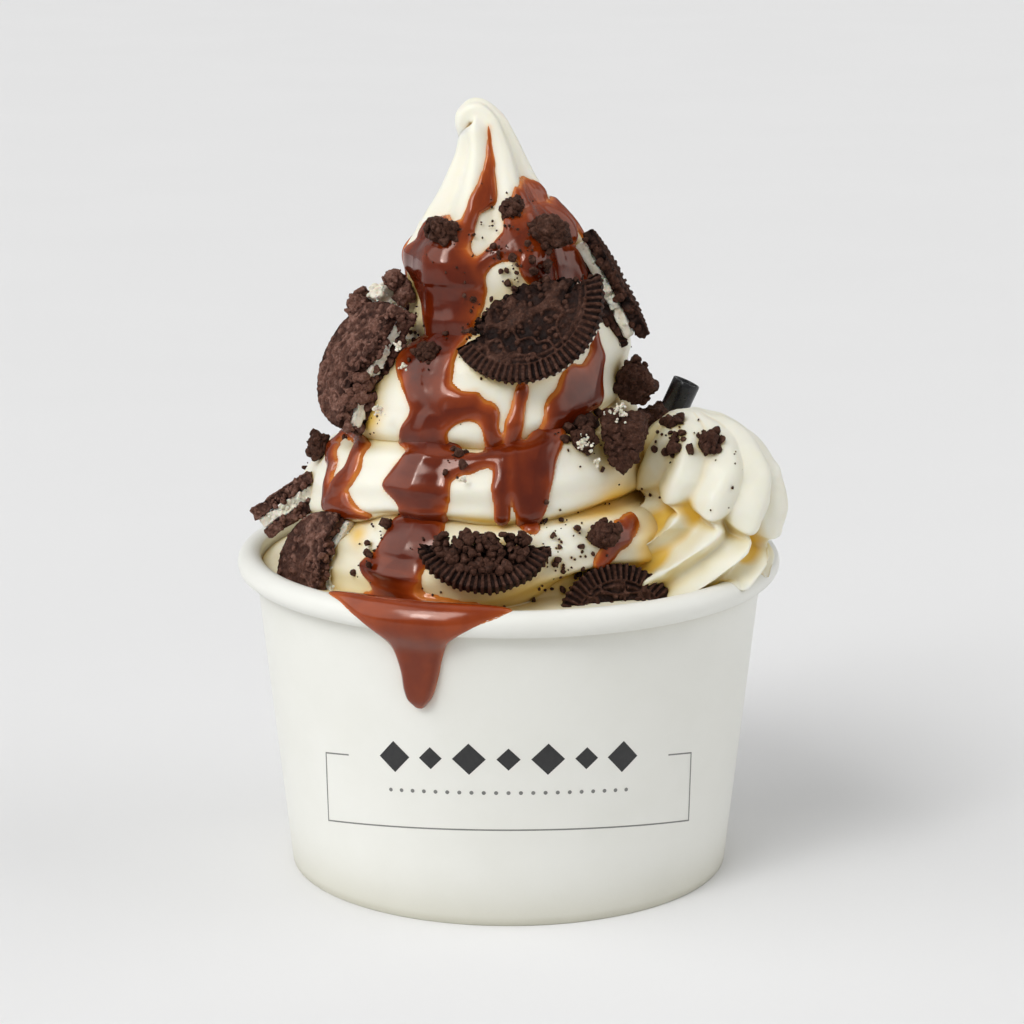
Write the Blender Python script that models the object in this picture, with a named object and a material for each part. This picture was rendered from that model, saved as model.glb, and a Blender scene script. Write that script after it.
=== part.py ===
"""Cookies and cream sundae in a rolled-rim paper tub.

Sizes are in millimetres in the tables and in metres in the scene. +Z is up, the front is at -Y,
the tub's axis is the Z axis and the foot of the tub stands on z = 0.
Angles round the tub are in degrees: -90 is the front, 0 is the right-hand side.
"""
import bmesh
import bpy
import numpy as np
from mathutils import Matrix, Vector

MM = 0.001
CLEAR = 0.3            # air left between solids that touch in the real food

# Paper tub
BASE_R = 46.7          # outer radius at the foot
WALL_TOP_R = 53.6      # outer radius just under the rolled rim
ROLL_R = 2.73          # radius of the rolled rim's section
ROLL_AT = (54.77, 66.07)   # centre of the rolled rim's section: radius, height
WALL = 0.9             # paper wall
FOOT = 1.8             # folded foot ring
RECESS = 3.5           # height of the bottom disc's underside
CUP_SIDES = 48
ROLL_START, ROLL_END = -115.0, 139.3

# Soft serve: the swirl's height parameter, centre x, centre height and outer radius
SWIRL = (
    (66.0, -1.0, 66.0, 43.6),
    (72.0, -2.4, 72.0, 43.2),
    (78.0, -3.8, 78.0, 41.2),
    (86.0, -4.6, 86.0, 37.4),
    (96.0, -4.0, 96.0, 33.5),
    (106.0, -2.6, 106.0, 29.0),
    (116.0, -0.8, 116.0, 22.6),
    (124.0, -1.1, 124.0, 19.4),
    (132.0, -2.9, 132.0, 17.6),
    (137.0, -2.9, 137.0, 14.8),
    (142.0, -3.4, 142.0, 11.0),
    (147.0, -3.8, 147.0, 8.4),
    (152.0, -4.2, 151.6, 6.6),
    (156.0, -4.8, 155.2, 5.4),
    (160.0, -5.9, 158.4, 4.5),
    (163.0, -7.5, 160.0, 3.6),
    (166.0, -9.1, 160.0, 2.7),
    (168.0, -10.2, 158.9, 1.6),
)
COIL_EDGES = (48.0, 64.0, 80.0, 98.0, 118.0, 142.0, 170.0)   # heights of the creases at the front
CREASE = ((60.0, 5.0), (80.0, 5.0), (98.0, 4.5), (116.0, 3.0), (128.0, 1.2), (138.0, 0.3), (145.0, 0.0))
FLUTES = ((112.0, 0.0), (124.0, 0.035), (134.0, 0.09), (148.0, 0.13), (158.0, 0.13), (168.0, 0.0))
FLUTE_COUNT = 6
# Places where a fold between two coils runs higher or lower: angle, height, widths, part of a coil
FOLDS = ((-60.0, 72.0, 28.0, 7.0, 0.42), (-118.0, 82.0, 26.0, 6.0, 0.2), (-90.0, 97.0, 18.0, 6.0, -0.12))
# Hollows behind the low left cookie and under a coil's right side, and the bulge of the coil above it:
# angle, height, widths, depth
DENTS = ((-139.0, 71.0, 13.0, 6.0, 3.0), (-42.0, 83.6, 18.0, 3.0, 2.6), (-6.0, 113.8, 24.0, 3.6, -2.6))
COLUMNS = 44
FILL_LEVEL = 65.4      # height of the ice cream against the wall
FILL_BOTTOM = 4.7

# Chocolate sauce on the soft serve. The main run is rows of (height, left angle, right angle)
RUN = (
    (66.0, -124.0, -94.0), (69.5, -129.0, -111.0), (71.5, -133.5, -110.5), (74.5, -126.0, -107.0),
    (77.0, -124.5, -104.5), (80.0, -123.5, -104.0), (83.0, -119.0, -103.0), (86.0, -119.0, -102.5),
    (88.4, -126.0, -102.0), (90.5, -124.0, -102.0), (92.5, -121.5, -101.0), (95.5, -128.0, -101.0),
    (98.0, -127.5, -105.0), (101.0, -126.5, -107.0), (104.0, -124.0, -106.0), (107.0, -132.0, -108.0),
    (109.0, -141.0, -110.0), (112.0, -146.0, -111.5), (116.0, -146.0, -111.0), (119.0, -141.0, -109.5),
    (122.0, -145.0, -106.0), (125.0, -160.0, -102.0), (128.0, -178.0, -99.5), (131.0, -178.0, -101.0),
    (134.0, -170.0, -108.0), (138.0, -122.0, -107.0), (141.0, -119.0, -103.0), (143.0, -116.0, -86.0),
    (146.0, -110.0, -81.0), (150.0, -101.0, -79.0), (155.0, -90.0, -77.0), (159.0, -73.0, -66.0),
)
# Each other stream is a row of (angle, height, half width)
STREAMS = (
    ((-124, 136.5, 3.4), (-142, 136.4, 3.8), (-158, 136, 3.8)),
    ((-130, 130.5, 4.5), (-146, 130.5, 4.3), (-155, 130, 4.0)),
    ((-66, 138, 4.0), (-80, 134.6, 2.6), (-91, 133, 1.6), (-103, 130.6, 2.0)),
    ((-60, 143.2, 1.6), (-48, 144, 2.6), (-30, 144.6, 3.0), (-20, 144.4, 2.6)),
    ((-60, 138, 4.0), (-44, 138, 4.8), (-26, 138, 4.6)),
    ((-62, 131, 4.0), (-40, 131, 5.0), (-26, 130, 4.0), (-30, 124, 2.6), (-34, 118, 1.2), (-37, 112, 1.4),
     (-46, 107.5, 3.6), (-56, 106.5, 4.3), (-62, 104, 4.2), (-64, 100, 4.0), (-68, 96.5, 3.2), (-74, 92.5, 3.6),
     (-76, 88.5, 3.5), (-76.5, 84, 2.4), (-77, 80.5, 2.2)),
    ((-84, 93, 2.2), (-85, 89, 1.8), (-85, 85, 1.3)),
    ((-104, 92, 2.4), (-96, 92.3, 1.3), (-88, 93.4, 1.5), (-80, 94.6, 1.8), (-75, 94.4, 1.4)),
    ((-108, 104.8, 2.8), (-99, 105.5, 2.0), (-92, 104.4, 1.8), (-89.5, 100, 1.6), (-89, 95, 1.6)),
    ((-80, 107.5, 1.6), (-82, 103, 1.9), (-81, 98, 1.9), (-80, 95, 2.2), (-79.5, 90, 2.2)),
    ((-172, 94.4, 1.5), (-160, 94.8, 1.6), (-150, 93.8, 1.6), (-143, 91.6, 2.0), (-142, 89, 2.2), (-146, 86.5, 2.0),
     (-150, 84, 2.0)),
    ((-172, 93, 1.4), (-168, 90.8, 1.2), (-162, 89.6, 1.2), (-155, 88, 1.3), (-152, 85.5, 1.5), (-152, 83.5, 1.8)),
    ((-150, 83.6, 1.8), (-142, 83.8, 2.2), (-134, 82.8, 1.6)),
    ((-44, 79, 1.2), (-50, 78, 1.3), (-54, 76.4, 1.3)),
    ((-131, 66.8, 1.2), (-122, 67.8, 2.0), (-108, 67.6, 1.8), (-97, 67.8, 1.4)),
    ((0, 140, 3.0), (12, 131, 5.0), (20, 120, 4.4), (24, 108, 5.6), (30, 96, 4.4), (34, 84, 3.0)),
    ((70, 146, 1.6), (84, 137, 4.0), (98, 126, 6.0), (104, 114, 5.0), (98, 102, 6.4), (106, 90, 5.0),
     (100, 80, 4.0)),
    ((150, 138, 3.0), (158, 129, 5.0), (150, 117, 4.0), (156, 105, 5.2), (148, 92, 4.2), (150, 82, 2.6)),
)
SAUCE = 1.1            # thickness of the drizzle

# Sauce that runs over the rim at the front left
SPILL_ANGLE = -109.6   # the run's middle, round the tub
SPILL_COLUMNS = 11
SPILL = (              # distance along the section, left edge, right edge (mm from the middle), thickness
    (0.0, -8.0, 10.0, 0.9),
    (3.0, -12.0, 14.5, 1.2),
    (6.0, -17.5, 18.0, 1.3),
    (8.4, -21.0, 19.6, 1.3),
    (10.8, -15.9, 17.2, 1.4),
    (12.6, -12.7, 13.2, 1.5),
    (14.6, -9.5, 9.6, 1.7),
    (17.0, -7.4, 7.5, 2.0),
    (19.5, -6.2, 6.2, 2.2),
    (22.5, -5.0, 5.1, 2.3),
    (26.0, -4.0, 4.3, 2.4),
    (29.4, -3.5, 3.3, 2.7),
    (31.5, -2.8, 2.2, 2.5),
    (32.8, -1.2, 1.2, 1.4),
)

# Whipped cream: height parameter, centre x, centre y, radius
ROSETTE = (
    (54.0, 32.0, -18.0, 12.0),
    (58.0, 33.0, -18.5, 17.0),
    (63.0, 34.5, -19.0, 18.5),
    (68.0, 36.0, -18.5, 18.9),
    (73.0, 38.5, -16.8, 18.0),
    (78.0, 40.4, -14.8, 17.3),
    (83.0, 41.0, -14.0, 17.0),
    (88.0, 41.0, -13.6, 15.6),
    (92.0, 40.4, -13.2, 13.8),
    (96.0, 39.4, -13.0, 11.0),
    (99.0, 38.2, -12.8, 7.2),
    (100.6, 37.4, -12.6, 3.0),
)
TIER_EDGE, TIER_TILT, TIER_TURN = 79.0, 5.5, 20.0   # the upper tier's foot: mean height, tilt, lowest side
TIER_NOTCH = 2.2       # depth of the notch under the upper tier
LOBES = 9
LOBE_DEPTH, RIDGE_DEPTH = 0.16, 0.25   # of the upper tier's broad lobes and the lower tier's ridges
LOBE_TWIST, RIDGE_TWIST = 2.2, 4.0     # degrees a millimetre
ROSETTE_COLUMNS = 45

# Straw
STRAW_R, STRAW_WALL = 3.0, 0.5
STRAW_FOOT, STRAW_TOP = (20.0, 9.0, 62.0), (38.0, 10.0, 102.0)

# Sandwich cookies: disc centre, normal's azimuth and elevation, roll, radius, cut, bulge of the break, layers.
# Layers from the shown face inwards: w wafer, f filling, d double filling, r wafer with a crumbled top
DEPTHS = {"w": 2.7, "r": 2.7, "f": 1.9, "d": 4.4}
LAYER_GAP = 0.15
COOKIES = (
    ("cookie_front_high", (2.9, -24.6, 125.1), -111, 30, -56, 16.7, -1.8, 5.0, "wf"),
    ("cookie_right_high", (22.8, -12.5, 127.0), -5, 29, -5, 13.2, -3.8, 0.0, "wfw"),
    ("cookie_left_high", (-29.0, -3.0, 118.0), -172, -29, 180, 6.6, 0.8, 0.0, "wdw"),
    ("cookie_left_big", (-29.9, -20.0, 111.6), -140, 26, 172, 13.8, 2.0, -2.2, "wfw"),
    ("cookie_rim", (-48.2, -7.0, 82.2), 165, 55, 180, 7.9, 1.0, 0.0, "wfw"),
    ("cookie_left_low", (-38.8, -25.8, 68.8), -133, 14, 173, 13.0, 0.8, 0.0, "wfw"),
    ("cookie_front_low", (-4.8, -39.8, 81.4), -90, 50, -90, 14.0, -3.8, 0.0, "r"),
    ("cookie_right_low", (23.0, -40.0, 61.0), -68, 20, 88, 13.5, 2.0, 0.0, "w"),
    ("cookie_back_high", (5.0, 28.0, 113.0), 80, 30, -70, 17.0, 2.0, 0.0, "wfw"),
    ("cookie_back_low", (-21.0, 43.0, 73.0), 116, 30, 70, 14.0, 1.0, 0.0, "wfw"),
)

# Cookie rubble: angle round the tub, height on the soft serve, lift, half sizes
CHUNKS = (
    ("chunk_crown_left", -129, 137, 1.0, (4.4, 3.2, 3.4)),
    ("chunk_crown_front", -68, 142, 0.6, (2.6, 2.2, 2.6)),
    ("chunk_crown_right", -52, 136.5, 2.0, (4.9, 4.4, 4.6)),
    ("chunk_mid_left", -125, 111, 1.6, (3.0, 2.6, 2.2)),
    ("chunk_right_high", -21, 107.5, 3.2, (4.4, 4.4, 4.4)),
    ("chunk_low_right", -57, 78, 2.0, (3.6, 3.2, 3.2)),
    ("chunk_left_stream", -172, 89, 1.2, (2.6, 2.4, 3.2)),
    ("chunk_back_crown", 118, 134, 1.6, (4.6, 3.6, 3.6)),
    ("chunk_back_right", 34, 98, 2.6, (5.4, 4.2, 4.4)),
    ("chunk_back_left", 168, 104, 2.6, (5.0, 4.0, 4.4)),
    ("chunk_back_foot", 70, 76, 2.2, (4.4, 3.8, 3.4)),
)
PLACED_CHUNKS = (      # centre, half sizes
    ("chunk_on_cream", (41.0, -23.0, 95.5), (3.2, 2.8, 2.8)),
    ("chunk_by_cream", (31.0, -9.0, 97.0), (4.6, 3.8, 4.0)),
    ("chunk_right_side", (15.2, -28.6, 97.9), (2.6, 2.5, 3.0)),
)
# The wedge-shaped lump at the right: its centre, and its corners from there
WEDGE_AT = (23.0, -27.0, 97.3)
WEDGE = (
    (-5.0, -2.6, 4.6), (4.2, -4.4, 4.4), (-4.0, 5.0, 6.8), (6.2, 3.4, 6.4), (5.4, -2.6, -1.0), (6.0, 4.0, 0.5),
    (0.4, -3.6, -8.4), (1.2, 1.8, -7.0), (-3.6, -3.4, -2.6), (-4.6, 3.8, 0.0),
)


def ease(a):
    """Smooth step of a value clipped to 0..1."""
    a = np.clip(a, 0.0, 1.0)
    return a * a * (3.0 - 2.0 * a)


def curve(x, xs, ys):
    """Monotone cubic through the points (xs, ys)."""
    xs, ys = np.asarray(xs, float), np.asarray(ys, float)
    step = np.diff(xs)
    slope = np.diff(ys) / step
    grad = np.zeros(len(xs))
    grad[0], grad[-1] = slope[0], slope[-1]
    for i in range(1, len(xs) - 1):
        if slope[i - 1] * slope[i] > 0.0:
            w1, w2 = 2.0 * step[i] + step[i - 1], step[i] + 2.0 * step[i - 1]
            grad[i] = (w1 + w2) / (w1 / slope[i - 1] + w2 / slope[i])
    x = np.clip(x, xs[0], xs[-1])
    i = np.clip(np.searchsorted(xs, x, side="right") - 1, 0, len(step) - 1)
    t = (x - xs[i]) / step[i]
    start = (1.0 + 2.0 * t) * (1.0 - t) ** 2 * ys[i] + t * (1.0 - t) ** 2 * step[i] * grad[i]
    end = t * t * (3.0 - 2.0 * t) * ys[i + 1] + t * t * (t - 1.0) * step[i] * grad[i + 1]
    return start + end


def column(table, k):
    return [row[k] for row in table]


def swirl(angle, t):
    """Points of the soft serve's surface for angles in degrees and height parameters in mm."""
    th = np.radians(angle)
    ts = column(SWIRL, 0)
    cx, cz, radius = (curve(t, ts, column(SWIRL, k)) for k in (1, 2, 3))
    ahead = curve(t + 0.05, ts, column(SWIRL, 1)) - curve(t - 0.05, ts, column(SWIRL, 1))
    up = curve(t + 0.05, ts, column(SWIRL, 2)) - curve(t - 0.05, ts, column(SWIRL, 2))
    bend = ease((t - 146.0) / 8.0)
    ahead, up = ahead * bend, up * bend + 0.1 * (1.0 - bend)
    size = np.hypot(ahead, up)
    ahead, up = ahead / size, up / size
    turn = (angle + 90.0) / 360.0
    ridge = 0.0
    for a0, t0, wide, tall, shift in FOLDS:
        ridge = ridge + shift * np.exp(-(((angle - a0) / wide) ** 2) - ((t - t0) / tall) ** 2)
    level = np.interp(t, COIL_EDGES, range(len(COIL_EDGES))) - turn - ridge
    phase = level - np.floor(level)
    pitch = np.interp(t, COIL_EDGES[:-1], np.diff(COIL_EDGES))
    depth = np.interp(t, column(CREASE, 0), column(CREASE, 1))
    r = radius - depth + depth * np.sin(np.pi * phase ** 0.85)
    sag = pitch * (0.5 - 0.5 * np.cos(np.pi * phase) - phase) * np.clip(depth / 3.0, 0.0, 1.0) * 0.9
    flute = np.interp(t, column(FLUTES, 0), column(FLUTES, 1))
    r = r * (1.0 + flute * np.cos(FLUTE_COUNT * np.radians(angle + 62.0 - 0.55 * (t - 140.0))))
    calm = np.clip((150.0 - t) / 30.0, 0.0, 1.0)
    for a0, t0, wide, tall, deep in DENTS:
        r = r - deep * np.exp(-(((angle - a0) / wide) ** 2) - ((t - t0) / tall) ** 2)
    r = r + calm * (0.5 * np.sin(2.0 * th + 0.11 * t) + 0.35 * np.sin(3.0 * th - 0.17 * t + 1.0))
    x = cx + r * np.cos(th) * up
    z = cz - r * np.cos(th) * ahead + sag
    return np.stack([x, r * np.sin(th) + 0.0 * t, z], -1)


def swirl_normal(angle, t):
    """Outward unit normals of the soft serve's surface."""
    du = swirl(angle + 1.0, t) - swirl(angle - 1.0, t)
    dt = swirl(angle, t + 0.6) - swirl(angle, t - 0.6)
    n = np.cross(du, dt)
    return n / np.maximum(np.linalg.norm(n, axis=-1, keepdims=True), 1e-9)


def sauce_inside(angle, t):
    """How far inside the drizzle a place is, in mm; negative outside it."""
    radius = curve(t, column(SWIRL, 0), column(SWIRL, 3))
    heights = column(RUN, 0)
    left, right = (curve(t, heights, column(RUN, k)) for k in (1, 2))
    slope = np.radians(curve(t + 0.5, heights, column(RUN, 1)) - left) * 2.0 * radius
    off = np.abs((angle - 0.5 * (left + right) + 180.0) % 360.0 - 180.0)
    best = np.radians(0.5 * (right - left) - off) * radius / np.sqrt(1.0 + np.minimum(slope ** 2, 4.0))
    best = best - np.maximum(t - heights[-1], 0.0)
    for stream in STREAMS:
        for (a0, t0, w0), (a1, t1, w1) in zip(stream[:-1], stream[1:]):
            ux, uy = np.radians(a1 - a0) * radius, (t1 - t0) * 1.08
            off = (angle - a0 + 180.0) % 360.0 - 180.0
            px, py = np.radians(off) * radius, (t - t0) * 1.08
            k = np.clip((px * ux + py * uy) / (ux * ux + uy * uy), 0.0, 1.0)
            gap = w0 + (w1 - w0) * k - np.hypot(px - ux * k, py - uy * k)
            blend = np.clip(0.5 + 0.5 * (best - gap) / 1.2, 0.0, 1.0)
            best = gap + (best - gap) * blend + 1.2 * blend * (1.0 - blend)
    return best


def material(name, colour, roughness, metallic=0.0):
    mat = bpy.data.materials.new(name)
    mat.use_nodes = True
    shader = mat.node_tree.nodes["Principled BSDF"]
    shader.inputs["Base Color"].default_value = (*colour, 1.0)
    shader.inputs["Roughness"].default_value = roughness
    shader.inputs["Metallic"].default_value = metallic
    mat.diffuse_color = (*colour, 1.0)
    return mat


def add_solid(name, points, faces, mat):
    """A closed body from points in millimetres."""
    mesh = bpy.data.meshes.new(name)
    mesh.from_pydata([tuple(float(c) * MM for c in p) for p in points], [], faces)
    bm = bmesh.new()
    bm.from_mesh(mesh)
    bmesh.ops.recalc_face_normals(bm, faces=bm.faces)
    bmesh.ops.triangulate(bm, faces=bm.faces)
    bm.to_mesh(mesh)
    bm.free()
    mesh.materials.append(mat)
    obj = bpy.data.objects.new(name, mesh)
    bpy.context.scene.collection.objects.link(obj)
    return obj


def ring_body(rings, low_pole, high_pole):
    """Points and faces of a body skinned over rings of equal length and closed by two poles."""
    n = len(rings[0])
    points = [tuple(p) for ring in rings for p in ring] + [tuple(low_pole), tuple(high_pole)]
    low, high = len(points) - 2, len(points) - 1
    faces = []
    for i in range(n):
        j = (i + 1) % n
        faces.append((low, j, i))
        for k in range(len(rings) - 1):
            faces.append((k * n + i, k * n + j, (k + 1) * n + j, (k + 1) * n + i))
        last = (len(rings) - 1) * n
        faces.append((last + i, last + j, high))
    return points, faces


def revolve(profile, sides):
    """Rings for a profile of (radius, height)."""
    a = np.radians(np.arange(sides) * 360.0 / sides)
    return [np.stack([r * np.cos(a), r * np.sin(a), np.full(sides, z)], -1) for r, z in profile]


def cup_radius(z):
    """Outer radius of the tub's wall."""
    return BASE_R + (WALL_TOP_R - BASE_R) * z / (ROLL_AT[1] - ROLL_R * 0.906)


def roll_points(radius, start, end, count):
    a = np.radians(np.linspace(start, end, count))
    return [(ROLL_AT[0] + radius * c, ROLL_AT[1] + radius * s) for c, s in zip(np.cos(a), np.sin(a))]


def make_cup(mat):
    disc_top = RECESS + WALL
    profile = [(BASE_R - FOOT, RECESS), (BASE_R - FOOT, 0.0), (BASE_R, 0.0)]
    profile += roll_points(ROLL_R, ROLL_START, ROLL_END, 9)
    profile += [(cup_radius(disc_top) - WALL, disc_top)]
    points, faces = ring_body(revolve(profile, CUP_SIDES), (0, 0, RECESS), (0, 0, disc_top))
    return add_solid("cup", points, faces, mat)


def make_cup_guard(mat):
    """The tub's wall and rim grown by the clearance, to cut food that leans on them."""
    inner = [(cup_radius(0.0) - WALL - CLEAR, -5.0)]
    top = ROLL_AT[1] + ROLL_R + CLEAR + 0.1
    profile = inner + [(66.0, -5.0), (66.0, top)] + roll_points(ROLL_R + CLEAR + 0.1, 90.0, ROLL_END, 4)
    rings = revolve(profile, CUP_SIDES)
    n = CUP_SIDES
    points = [tuple(p) for ring in rings for p in ring]
    faces = []
    for k in range(len(rings)):
        m = (k + 1) % len(rings)
        for i in range(n):
            j = (i + 1) % n
            faces.append((k * n + i, k * n + j, m * n + j, m * n + i))
    return add_solid("cup_guard", points, faces, mat)


def make_ice_cream(mat):
    angle = np.arange(COLUMNS) * 360.0 / COLUMNS - 180.0
    th = np.radians(angle)

    def flat_ring(r, z):
        return np.stack([r * np.cos(th), r * np.sin(th), z + 0.0 * th], -1)

    wall_top = FILL_LEVEL + 0.3 * np.sin(3.0 * th + 0.6)
    rings = [
        flat_ring(cup_radius(FILL_BOTTOM) - WALL - CLEAR, FILL_BOTTOM),
        flat_ring(cup_radius(FILL_LEVEL) - WALL - CLEAR - 0.1, wall_top),
        flat_ring(48.6, wall_top + 0.5),
    ]
    heights = np.concatenate([np.arange(66.6, 119, 3.1), np.arange(120, 149, 3.2), np.arange(150, 168, 2.4)])
    for t in heights:
        t = np.full(COLUMNS, t)
        raised = SAUCE * ease(sauce_inside(angle, t) / 1.6) * ease((146.0 - t) / 16.0)
        rings.append(swirl(angle, t) + swirl_normal(angle, t) * raised[:, None])
    tip = swirl(angle, np.full(COLUMNS, 168.0)).mean(axis=0) + np.array([-0.6, 0.0, -0.6])
    points, faces = ring_body(rings, (0, 0, FILL_BOTTOM), tip)
    return add_solid("ice_cream", points, faces, mat)


def spill_section():
    """The tub's section from inside the rim, over the roll and down the wall, with outward normals."""
    path = [(46.0, 66.6), (50.0, 67.5)]
    path += roll_points(ROLL_R + CLEAR, 139.0, -75.0, 12)
    path += [(cup_radius(z) + CLEAR, z) for z in (60.5, 57.0, 53.0, 49.0, 45.0)]
    path = np.array(path)
    length = np.concatenate([[0.0], np.cumsum(np.hypot(*np.diff(path, axis=0).T))])
    return path, length


def make_spill(mat, grow, name):
    path, length = spill_section()
    rows = []
    for s, left, right, thick in SPILL:
        r0, z0 = np.interp(s, length, path[:, 0]), np.interp(s, length, path[:, 1])
        r1 = np.interp(s + 0.4, length, path[:, 0]) - np.interp(s - 0.4, length, path[:, 0])
        z1 = np.interp(s + 0.4, length, path[:, 1]) - np.interp(s - 0.4, length, path[:, 1])
        size = np.hypot(r1, z1)
        nr, nz = -z1 / size, r1 / size
        across = np.linspace(-1.0, 1.0, SPILL_COLUMNS)
        side = np.where(across < 0, -(left - grow) * across, (right + grow) * across)
        rise = (thick + grow) * np.sqrt(np.clip(1.0 - across ** 4, 0.0, 1.0)) + 0.15
        a = np.radians(SPILL_ANGLE) + side / 55.0
        rows.append((a, r0, z0, nr, nz, rise))
    points, faces = [], []
    n = SPILL_COLUMNS
    for level in (0, 1):
        for a, r0, z0, nr, nz, rise in rows:
            lift = rise if level else -grow + 0.0 * rise
            r, z = r0 + nr * lift, z0 + nz * lift
            points += [tuple(p) for p in np.stack([r * np.cos(a), r * np.sin(a), z], -1)]
    base = len(rows) * n
    for j in range(len(rows) - 1):
        for i in range(n - 1):
            q = j * n + i
            faces.append((q, q + 1, q + n + 1, q + n))
            faces.append((base + q, base + q + n, base + q + n + 1, base + q + 1))
    border = [i for i in range(n)] + [j * n + n - 1 for j in range(1, len(rows))]
    border += [(len(rows) - 1) * n + i for i in range(n - 2, -1, -1)]
    border += [j * n for j in range(len(rows) - 2, 0, -1)]
    for k, q in enumerate(border):
        p = border[(k + 1) % len(border)]
        faces.append((q, p, base + p, base + q))
    return add_solid(name, points, faces, mat)


def rosette(angle, t):
    """Points of the whipped cream, a two-tier star-piped rosette."""
    ts = column(ROSETTE, 0)
    cx, cy, r = (curve(t, ts, column(ROSETTE, k)) for k in (1, 2, 3))
    above = t - (TIER_EDGE - TIER_TILT * np.cos(np.radians(angle - TIER_TURN)))
    upper = ease(0.5 + above / 3.0)
    rise = t - TIER_EDGE
    lean = LOBE_TWIST * np.maximum(rise, 0.0) + RIDGE_TWIST * np.minimum(rise, 0.0)
    turn = np.radians(0.5 * LOBES * (angle - lean) + 90.0 * upper)
    ridge = 1.0 - np.abs(np.sin(turn))
    petal = 0.5 * np.abs(np.cos(turn)) + 0.5 * np.cos(turn) ** 2
    lobe = ridge + (petal - ridge) * upper
    depth = RIDGE_DEPTH + (LOBE_DEPTH - RIDGE_DEPTH) * upper
    depth = depth * ease((t - 55.0) / 5.0) * (1.0 - 0.5 * ease((t - 92.0) / 7.0))
    r = r * (1.0 - depth * (1.0 - lobe)) - TIER_NOTCH * np.exp(-((above / 2.2) ** 2))
    th = np.radians(angle)
    return np.stack([cx + r * np.cos(th), cy + r * np.sin(th), t + 0.0 * th], -1)


def make_whipped(mat):
    angle = np.arange(ROSETTE_COLUMNS) * 360.0 / ROSETTE_COLUMNS
    levels = (54.5, 59.0, 64.0, 68.5, 72.0, 74.5, 76.7, 79.0, 81.3, 83.5, 87.0, 91.0, 94.5, 97.5, 100.0)
    rings = [rosette(angle, np.full(ROSETTE_COLUMNS, t)) for t in levels]
    low, high = rings[0].mean(axis=0), rings[-1].mean(axis=0)
    points, faces = ring_body(rings, low + (0, 0, -0.4), high + (0, 0, 0.8))
    return add_solid("whipped_cream", points, faces, mat)


def make_whipped_room(mat):
    """A plain body that holds the whipped cream with its clearance."""
    a = np.radians(np.arange(20) * 18.0)
    rings = []
    for t, cx, cy, r in ROSETTE:
        rings.append(np.stack([cx + (r + 0.8) * np.cos(a), cy + (r + 0.8) * np.sin(a), 0.0 * a + t], -1))
    low, high = rings[0].mean(axis=0), rings[-1].mean(axis=0)
    points, faces = ring_body(rings, low + (0, 0, -1.0), high + (0, 0, 2.0))
    return add_solid("whipped_room", points, faces, mat)


def make_straw(mat):
    foot, top = Vector(STRAW_FOOT), Vector(STRAW_TOP)
    length = (top - foot).length
    n = 16
    a = np.arange(n) * 2.0 * np.pi / n
    loops = [(STRAW_R, 0.0), (STRAW_R, length), (STRAW_R - STRAW_WALL, length), (STRAW_R - STRAW_WALL, 0.0)]
    turn = (top - foot).to_track_quat("Z", "Y").to_matrix()
    points = [foot + turn @ Vector((r * np.cos(b), r * np.sin(b), z)) for r, z in loops for b in a]
    faces = []
    for k in range(4):
        for i in range(n):
            j, m = (i + 1) % n, (k + 1) % 4
            faces.append((k * n + i, k * n + j, m * n + j, m * n + i))
    return add_solid("straw", points, faces, mat)


def make_straw_room(mat):
    foot, top = Vector(STRAW_FOOT), Vector(STRAW_TOP)
    along = (top - foot).normalized()
    turn = along.to_track_quat("Z", "Y").to_matrix()
    n = 16
    a = np.arange(n) * 2.0 * np.pi / n
    rings = []
    for z in (-1.0, (top - foot).length + 20.0):
        rings.append([foot + turn @ Vector((3.4 * np.cos(b), 3.4 * np.sin(b), z)) for b in a])
    ends = [foot + turn @ Vector((0, 0, z)) for z in (-1.0, (top - foot).length + 20.0)]
    points, faces = ring_body(rings, ends[0], ends[1])
    return add_solid("straw_room", points, faces, mat)


def outline(radius, cut, bulge, seed, teeth):
    """Outline of a broken disc: the ridged arc lies below the line y = cut, the bulging break along it."""
    rng = np.random.default_rng(seed)
    start = np.arcsin(cut / radius)
    arc = np.linspace(start, -np.pi - start, teeth)
    ridge = radius - 0.35 * (np.arange(teeth) % 2)
    edge = [(r * np.cos(a), r * np.sin(a)) for r, a in zip(ridge, arc)]
    half = radius * np.cos(start)
    for x in np.linspace(-half, half, 8)[1:-1]:
        y = cut + bulge * (1.0 - (x / half) ** 2)
        edge.append((x + rng.uniform(-0.5, 0.5), y + rng.uniform(-1.5, 1.3)))
    return np.array(edge)


def placed(centre, azimuth, elevation, roll):
    """Matrix that puts a disc's local -Y along the roll direction and +Z along its normal."""
    az, el, ro = np.radians([azimuth, elevation, roll])
    n = Vector((np.cos(el) * np.cos(az), np.cos(el) * np.sin(az), np.sin(el)))
    side = Vector((-np.sin(az), np.cos(az), 0.0))
    up = n.cross(side)
    arc = side * np.cos(ro) + up * np.sin(ro)
    y = -arc
    x = y.cross(n)
    mat = Matrix((x, y, n)).transposed().to_4x4()
    mat.translation = Vector(centre)
    return mat


def slab(edge, low, high, top_form, rng):
    """A flat body over an outline; its top is flat, bordered like a wafer's or crumbled."""
    mid = edge.mean(axis=0)

    def ring(scale, z, rough=0.0):
        return [(*(mid + (p - mid) * scale), z + rng.uniform(-rough, rough)) for p in edge]

    rings = [ring(1.0, low), ring(1.0, high)]
    top = high
    if top_form == "bordered":
        rings += [ring(0.86, high), ring(0.83, high - 0.4)]
        top = high - 0.2
    if top_form == "crumbled":
        rings += [ring(0.80, high + 0.6, 0.4), ring(0.50, high + 2.6, 1.0)]
        top = high + 3.0
    return ring_body(rings, (*mid, low), (*mid, top))


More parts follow.
